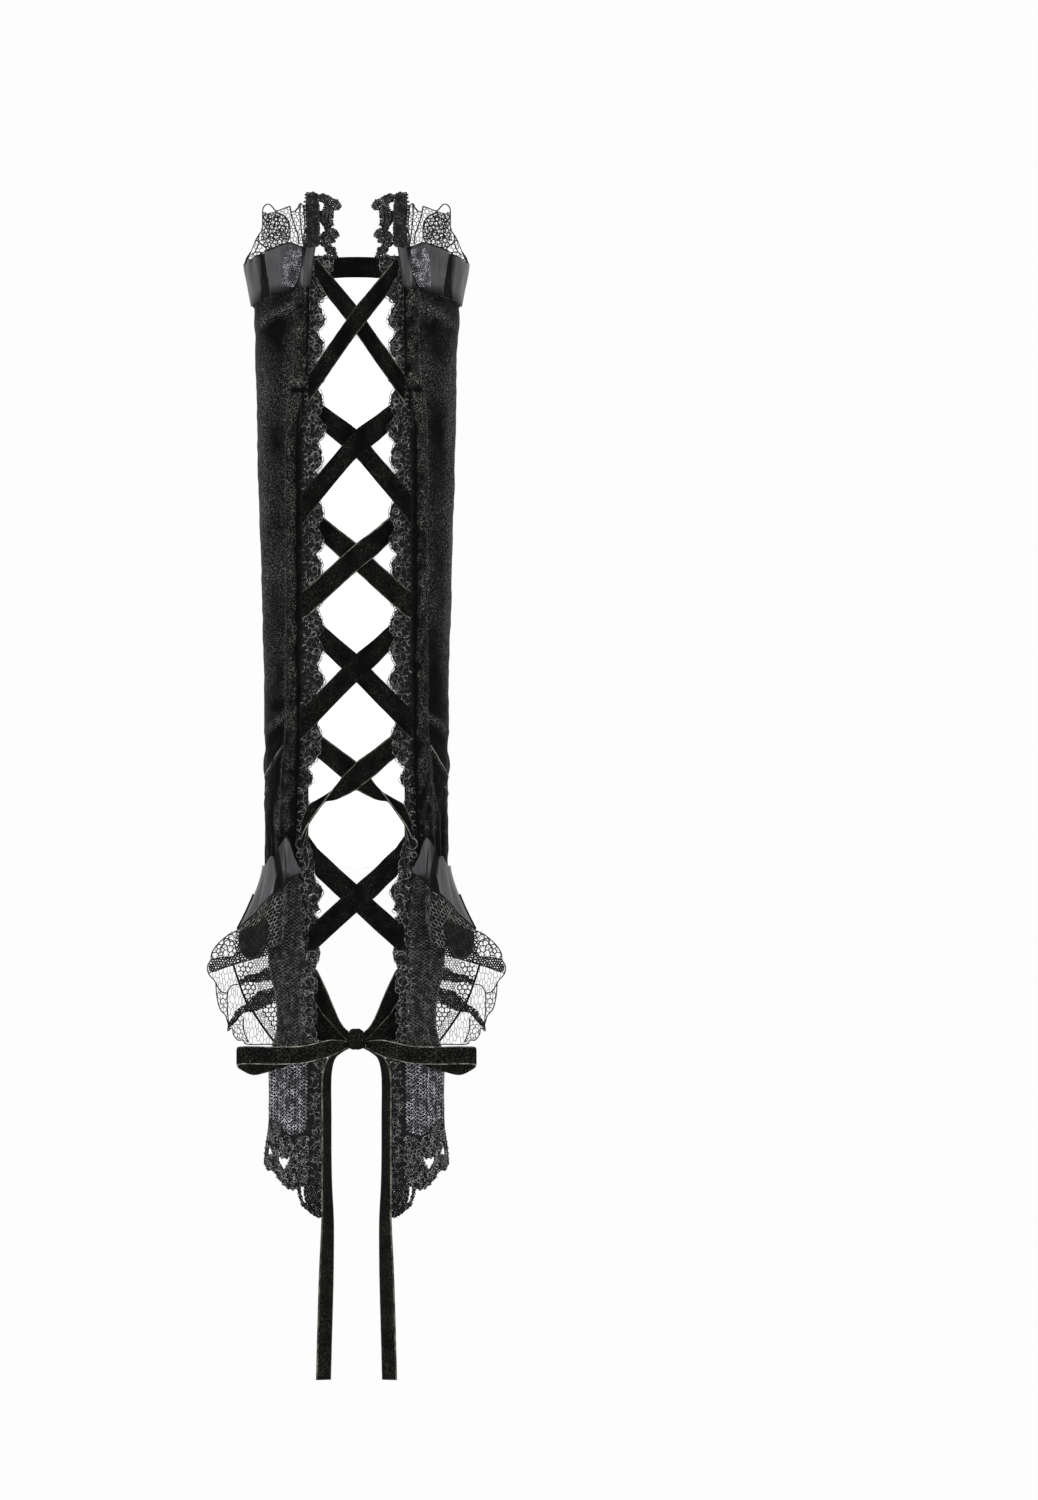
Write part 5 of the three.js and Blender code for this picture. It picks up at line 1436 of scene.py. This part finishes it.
FAN_LINES = [
    [(67.2, -64.7), (62.5, -63.6), (57.9, -63.2), (55.6, -62.6)],
    [(67.8, -70.4), (64.7, -69.6), (57.5, -67.0), (49.1, -64.7), (42.6, -62.8)],
    [(54.1, -75.8), (57.5, -76.5), (59.4, -79.9), (59.6, -86.5), (59.0, -94.1)],
    [(64.7, -75.8), (62.5, -79.2), (59.4, -79.9)],
    [(52.2, -91.4), (51.8, -97.9), (49.9, -102.4)],
    [(55.6, -60.0), (57.0, -56.0), (60.0, -55.6), (62.6, -59.0)],
    [(57.5, -94.9), (55.2, -92.2), (52.2, -88.7), (49.5, -87.6)]]
BAR_A = [
    (66.7, -64.3), (62.5, -63.6), (57.9, -63.2), (55.6, -62.4), (55.4, -51.6), (40.2, -48.0),
    (40.2, -62.0), (42.6, -62.8), (49.1, -64.7), (55.6, -66.6), (57.5, -67.0), (64.7, -69.6),
    (67.8, -70.1), (68.2, -67.4)]
BAR_B = [
    (38.6, -68.0), (42.2, -68.5), (45.3, -70.8), (49.5, -71.2), (52.2, -72.7), (54.1, -74.2),
    (54.1, -75.8), (51.4, -75.0), (45.3, -74.6), (38.4, -73.6)]
BAR_C = [
    (37.4, -77.2), (39.2, -77.6), (45.3, -79.2), (49.1, -82.6), (50.6, -84.9), (52.9, -86.0),
    (54.8, -87.2), (56.7, -90.6), (58.7, -93.7), (59.6, -97.5), (57.5, -94.9), (55.2, -92.2),
    (52.2, -88.7), (49.1, -88.3), (46.0, -88.0), (41.5, -85.7), (36.8, -83.0)]
ROUND_HOLES = [
    (55.0, -67.4), (48.2, -65.3), (48.7, -72.5), (46.0, -76.0), (45.8, -79.5), (42.0, -84.0),
    (37.0, -84.0), (36.8, -98.0), (43.4, -88.0), (47.4, -87.0), (50.4, -84.5), (54.3, -74.2)]
FINE_MESH = [
    (48.2, -65.3), (42.0, -62.6), (38.6, -64.0), (37.6, -84.0), (42.0, -84.0), (45.8, -79.5),
    (46.0, -76.0), (48.7, -72.5)]
HATCHED = [(47.4, -88.9), (43.4, -88.0), (36.8, -98.0), (36.6, -103.0), (38.4, -101.7), (43.0, -95.6)]
RIM_CELLS = [
    (64.7, -75.8), (62.5, -79.2), (59.4, -79.9), (59.6, -86.5), (59.0, -94.1), (60.5, -90.2),
    (62.8, -87.6), (64.0, -83.7)]
TOP_LOBE = [(55.4, -51.3), (59.4, -53.3), (64.4, -57.8), (66.8, -61.6), (67.2, -64.2), (55.4, -62.6)]
LOWER_LOBE = [
    (52.2, -89.5), (57.3, -96.0), (56.8, -98.9), (54.8, -101.7), (50.2, -103.6), (49.9, -102.4),
    (51.8, -97.9)]
FAN_NETS = [
    dict(area=FAN_OUTLINE, spacing=1.5, jitter=0.5, thread=0.13, stretch=2.4),
    dict(area=ROUND_HOLES, spacing=2.4, jitter=0.16, thread=0.38),
    dict(area=FINE_MESH, spacing=1.25, jitter=0.2, thread=0.2),
    dict(area=HATCHED, spacing=1.0, jitter=0.4, thread=0.16),
    dict(area=TOP_LOBE, spacing=2.4, jitter=0.42, thread=0.34),
    dict(area=RIM_CELLS, spacing=2.5, jitter=0.25, thread=0.22),
    dict(area=LOWER_LOBE, spacing=2.3, jitter=0.25, thread=0.22),
    dict(area=BAR_A, spacing=1.2, jitter=0.34, thread=0.5, lift=0.5),
    dict(area=BAR_B, spacing=1.0, jitter=0.3, thread=0.55, lift=0.5),
    dict(area=BAR_C, spacing=1.0, jitter=0.3, thread=0.55, lift=0.5)]


def fan_place(outward, root):
    """A point of the right-hand fan, by the height of its rib's root and its way out to the tip."""
    root = np.clip(root, FAN["root"][0], FAN["root"][-1])
    outer = eased(HAND_PANEL, root, "outer")
    beside = FAN_SEAM / eased(FORM, root, "half_depth")
    sewn = round_arm(angle_across(outer, root) + beside, root, HAND_LEVEL)
    tip = np.stack(eased(FAN, root, "tip_out", "tip_y", "tip_z"), axis=-1)
    outward = np.asarray(outward)[..., None]
    return sewn * (1 - outward) + tip * outward


def fan_seen(side, out, z, lift=0.0):
    """The fan's point that shows at a place from the front, found by trying nearer and nearer."""
    root, outward = np.array(z, float), np.full(np.shape(z), 0.5)
    for _ in range(24):
        here = fan_place(outward, root)
        sewn_out, tip_out = fan_place(0 * outward, root)[..., 0], fan_place(0 * outward + 1, root)[..., 0]
        outward = np.clip((out - sewn_out) / (tip_out - sewn_out), 0, 1.05)
        root = root + 0.6 * (z - here[..., 2])
    return np.stack([side * out, fan_place(outward, root)[..., 1] - lift, z + 0 * out], axis=-1)


def fan_line(side, route, lift=0.0):
    """A smooth thread on the fan, through points of (out, z)."""
    line = evenly(smoothed(route, 6), 0.7)
    return fan_seen(side, line[:, 0], line[:, 1], lift)


for side, word in SIDES.items():
    pieces = []
    for number, net in enumerate(FAN_NETS):
        longer = np.array([1.0, net.get("stretch", 1.0)])
        area = np.array(net["area"]) / longer
        walls = net_over(area, net["spacing"], net["jitter"], 91 + number) * longer
        walls = kept(walls, lambda u, v: within(FAN_OUTLINE, u, v))
        placed = fan_seen(side, walls[..., 0], walls[..., 1], net.get("lift", 0.0))
        pieces.append(threads(f"fan_net_{number}_{word}", placed, net["thread"], NET_THREAD,
                              outward=FRONT))
    rim = FAN_OUTLINE[1:-3]
    cords = [fan_line(side, rim)] + [fan_line(side, route, 0.2) for route in FAN_LINES]
    gimp = [fan_line(side, CORD_LINE, 0.6)]
    pieces.append(threads(f"fan_cords_{word}", cords, 0.36, NET_THREAD, outward=FRONT))
    pieces.append(threads(f"fan_gimp_{word}", gimp, 0.5, CORD_THREAD, sides=6, outward=FRONT))
    fan = joined(f"net_lace_fan_{word}", pieces)
    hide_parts(f"fan_{word}")


# The lacing: one ribbon that crosses the front six times and turns through the edging

# Heights of each crossing: of its strands' upper ends, of the crossing itself, and of the turns.
# Two differ from the rest, in how far the ribbon drops in its turn or how tall its upper end is
LACING = [
    dict(upper=253.6, cross=229.9, lower=197.8),
    dict(upper=186.5, cross=173.0, lower=142.5),
    dict(upper=135.7, cross=120.8, lower=97.5),
    dict(upper=86.0, cross=69.9, lower=43.5),
    dict(upper=34.0, cross=20.2, lower=-9.0, drop=9.0, twisted=True),
    dict(upper=-19.7, cross=-36.1, lower=-56.5, upper_height=13.4)]
# The fifth crossing's strands are twisted half round on their way down to the edging, and the
# edge that comes to the front there shows as a thin pale line, at (out, z)
TWISTED = table(
    "out centre tall",
    (0, 20.2, 12.7), (3.3, 17.5, 11.2), (6.1, 15.4, 9.6), (8.9, 12.85, 7.1), (11.6, 11.05, 4.7),
    (14.3, 9.8, 3.4), (15.7, 8.5, 4.3), (18.2, 6.0, 6.4), (21.3, 2.7, 9.1), (23.7, -1.0, 11.5),
    (25.0, -5.0, 13.2))
TWIST_EDGE = [
    (10.3, 14.3), (12.6, 11.2), (14.6, 8.2), (18.0, 3.4), (21.1, -1.2), (23.4, -5.6), (24.0, -7.6)]
STRAND_HEIGHT, UPPER_HEIGHT = 13.2, 11.4
STRAND_FROM, FIRST_FROM = 19.0, 14.0
FRONT_FROM = -14.1
CROSSING_BEND = 2.5
STRAND_LEVELS = table(
    "across over under first_over first_under",
    (19, -2.0, -2.0, 0.9, 0.9), (14, -1.9, -1.9, 0.9, 0.9), (8, 1.2, -0.6, 1.2, 0.4),
    (0, 1.2, -0.6, 1.2, -0.6), (-8, 1.2, -0.5, 1.2, -0.5), (-14, 1.0, 0.7, 1.0, 0.7))
FRONT_LEVEL, BACK_LEVEL = 0.8, -2.0
TURN_LEAD, TURN_DROP = 3.2, 5.5
# The ribbon from the last turn to the knot, and its last stretch, that comes out of the knot
# behind that strand: (out, z, level, height)
TO_KNOT = [
    (20.6, -74.2, -2.0, 16.2), (18.7, -77.7, -2.0, 16.0), (16.2, -82.0, -1.8, 15.2),
    (14.0, -85.2, -1.4, 13.0), (10.7, -90.3, -0.4, 9.0), (8.0, -94.5, 0.6, 5.8),
    (5.6, -97.6, 1.4, 4.6), (3.6, -99.4, 2.0, 4.6)]
BEHIND_STRAND = [
    (21.6, -93.4, -3.5, 16.0), (19.4, -93.8, -3.5, 16.2), (17.0, -95.0, -3.4, 14.8),
    (14.6, -96.6, -3.1, 12.2), (11.4, -98.4, -2.2, 8.6), (8.4, -99.7, -1.2, 6.0),
    (5.8, -100.6, -0.4, 4.2), (4.0, -101.0, 0.2, 3.0)]
BAR_REACH, BAR_ARCH, BAR_RISE = 16.0, 0.6, 0.2


def turn_through(side, turn, z, drop, height):
    """The ribbon's turn round the edging, from the front to the back."""
    bends = np.linspace(0.08, 0.92, 9)
    level = (FRONT_LEVEL + BACK_LEVEL) / 2 + TURN_RADIUS * np.cos(np.pi * bends)
    out = turn - TURN_RADIUS + TURN_RADIUS * np.sin(np.pi * bends)
    return [(side * o, z - drop * (b - 0.5), lift, height) for o, b, lift in zip(out, bends, level)]


def strand(side, row, following):
    """Stations of a strand, from its upper end across the middle and through its turn."""
    turn = float(between(FRONT_EDGE, row["lower"], "turn"))
    first = row is LACING[0]
    twisted = row.get("twisted")
    course = ("first_" if first else "") + ("over" if side > 0 else "under")
    rise = (row["upper"] - row["cross"]) / STRAND_FROM
    fall = (row["lower"] - row["cross"]) / -turn
    widening = (row.get("upper_height", UPPER_HEIGHT) - STRAND_HEIGHT) / STRAND_FROM
    ends = TURN_LEAD - turn
    steps = np.arange(FIRST_FROM if first else STRAND_FROM, ends + 0.5 if twisted else FRONT_FROM, -1.0)
    stations = []
    for across in np.append(steps, ends):
        past = math.hypot(across, CROSSING_BEND) - CROSSING_BEND
        centre = row["cross"] + (rise + fall) / 2 * across + (rise - fall) / 2 * past
        tall = STRAND_HEIGHT + widening * max(across, 0)
        if twisted and across < 0:
            centre, tall = (float(eased(TWISTED, -across, what)) for what in ("centre", "tall"))
        level = FRONT_LEVEL if across < FRONT_FROM else float(eased(STRAND_LEVELS, across, course))
        stations.append((side * across, centre, level, tall))
    drop = row.get("drop", min(TURN_DROP, (row["lower"] - following) * 0.4))
    return stations + turn_through(-side, turn, row["lower"], drop, STRAND_HEIGHT)


def zigzag(side):
    """Stations down the front, from a strand's upper end on one side to the knot."""
    stations = []
    below = [row["upper"] for row in LACING[1:]] + [TO_KNOT[0][1]]
    for row, following in zip(LACING, below):
        stations += strand(side, row, following)
        side = -side
    last = [stations[-1]] + [(side * out, *rest) for out, *rest in TO_KNOT]
    return stations + [tuple(station) for station in smoothed(last, 5)[1:]]


def lacing_stations():
    """The whole ribbon: up one zigzag, across the bar at the top, and down the other."""
    bar_z = LACING[0]["upper"]
    turn = float(between(FRONT_EDGE, bar_z, "turn"))
    left_end = turn_through(LEFT, turn, bar_z, 0, RIBBON_WIDTH)
    right_end = turn_through(RIGHT, turn, bar_z, 0, RIBBON_WIDTH)
    bar = []
    for part in np.linspace(-1, 1, 21):
        crown = 1 - part ** 2
        level = BACK_LEVEL + BAR_RISE * crown
        bar.append((BAR_REACH * part, bar_z + BAR_ARCH * crown, level, RIBBON_WIDTH))
    return zigzag(LEFT)[::-1] + left_end + bar + right_end[::-1] + zigzag(RIGHT)


def laid_ribbon(name, stations):
    """A length of ribbon through stations of (across, z, level, height)."""
    across, z, level, tall = np.array(stations).T
    return ribbon(name, on_front(across, z + tall / 2, level), on_front(across, z - tall / 2, level))


laced = [laid_ribbon("laced_ribbon", lacing_stations())]
for side in SIDES:
    laced.append(laid_ribbon(f"ribbon_behind_{side}", smoothed(BEHIND_STRAND, 5) * (side, 1, 1, 1)))
for side in SIDES:
    out, z = smoothed(TWIST_EDGE, 5).T
    edge = [on_front(side * out, z, FRONT_LEVEL + 1.0)]
    laced.append(threads(f"ribbon_twist_{side}", edge, 0.3, BOW_SELVEDGE, outward=FRONT))
lacing = joined("laced_ribbon", laced)
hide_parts("lacing_ribbon")


# The bow: a wrapped knot and two loops

KNOT = dict(z=-100.8, y=-29.0, half_width=4.5, half_height=4.9, half_depth=4.6)
# A loop's middle line and its height there: (out, y, z, height)
BOW_LOOP = [
    (4.3, -31.0, -103.2, 3.0), (11.3, -32.6, -104.7, 7.4), (17.0, -33.2, -106.1, 8.1),
    (25.5, -33.4, -107.9, 8.2), (37.0, -33.3, -108.3, 8.3), (48.0, -33.4, -108.1, 8.3),
    (53.2, -32.8, -108.2, 8.3), (54.7, -31.2, -109.0, 8.5), (53.0, -29.8, -110.6, 8.8),
    (47.7, -29.5, -112.7, 9.2), (41.2, -29.4, -111.5, 9.2), (31.7, -29.3, -108.8, 8.6),
    (15.0, -29.2, -105.2, 5.4), (5.0, -29.2, -103.3, 2.2)]


def knot_grid():
    """Rings of points up the knot, which bulges where the ribbon wraps round it."""
    around = np.linspace(0, 2 * np.pi, 65)[None, :-1]
    up = np.linspace(-0.97, 0.97, 29)[:, None]
    rounded = (1 - np.abs(up) ** 2.6) ** (1 / 2.6)
    wrap = 1 + 0.07 * np.sin(around * 2 + up * 2.2) + 0.05 * np.cos(up * 9 + around)
    x = KNOT["half_width"] * rounded * np.sin(around) * wrap
    y = KNOT["y"] - KNOT["half_depth"] * rounded * np.cos(around) * wrap
    z = KNOT["z"] + KNOT["half_height"] * up * (1 + 0.03 * np.sin(around * 3))
    return np.stack(np.broadcast_arrays(x, y, z), axis=-1)


knot_points = knot_grid()
rows, columns, _ = knot_points.shape
point = np.arange(rows * columns).reshape(rows, columns)
after = np.roll(point, -1, axis=1)
knot_faces = np.stack([point[:-1], after[:-1], after[1:], point[1:]], axis=-1).reshape(-1, 4).tolist()
knot_faces += [point[0, ::-1].tolist(), point[-1].tolist()]
knot = new_piece("ribbon_knot", knot_points.reshape(-1, 3), knot_faces, [RIBBON_VELVET],
                 marks=dict(pile=np.full(rows * columns, 0.6)))
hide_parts("bow_knot")

for side, word in SIDES.items():
    line = smoothed(BOW_LOOP, 6)
    middle = line[:, :3] * (side, 1, 1)
    half = line[:, 3:] / 2 * (0, 0, 1)
    loop = ribbon(f"ribbon_loop_{word}", middle + half, middle - half, 0.8, BOW_SELVEDGE)
    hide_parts(f"bow_loop_{word}")


# Floor and light

FLOOR_Z = -400.0
FLOOR_HALF = 420.0

corners = [(x * FLOOR_HALF * MM, y * FLOOR_HALF * MM, FLOOR_Z * MM)
           for x, y in ((-1, -1), (1, -1), (1, 1), (-1, 1))]
floor_mesh = bpy.data.meshes.new("floor")
floor_mesh.from_pydata(corners, [], [[0, 1, 2, 3]])
floor_mesh.materials.append(FLOOR_PAINT)
floor = bpy.data.objects.new("floor", floor_mesh)
bpy.context.scene.collection.objects.link(floor)

world = bpy.data.worlds.new("studio")
world.use_nodes = True
sky = world.node_tree.nodes["Background"]
sky.inputs["Color"].default_value = linear("FDFDFD")
sky.inputs["Strength"].default_value = 1.0
bpy.context.scene.world = world

# Soft boxes, in metres: the one in front stands behind the camera and shines into the open front
LIGHTS = [
    dict(name="front_softbox", place=(0.0, -9.4, 0.05), size=1.4, power=1340.0),
    dict(name="left_strip", place=(-1.6, -0.5, 0.4), size=0.9, power=16.0),
    dict(name="right_strip", place=(1.6, -0.5, 0.4), size=0.9, power=16.0)]
LIT_POINT = Vector((0, 0, 0.03))
for made in LIGHTS:
    data = bpy.data.lights.new(made["name"], "AREA")
    data.energy = made["power"]
    data.size = made["size"]
    light = bpy.data.objects.new(made["name"], data)
    light.location = made["place"]
    light.rotation_euler = (LIT_POINT - light.location).to_track_quat("-Z", "Y").to_euler()
    bpy.context.scene.collection.objects.link(light)

bpy.context.scene.view_settings.view_transform = "Standard"
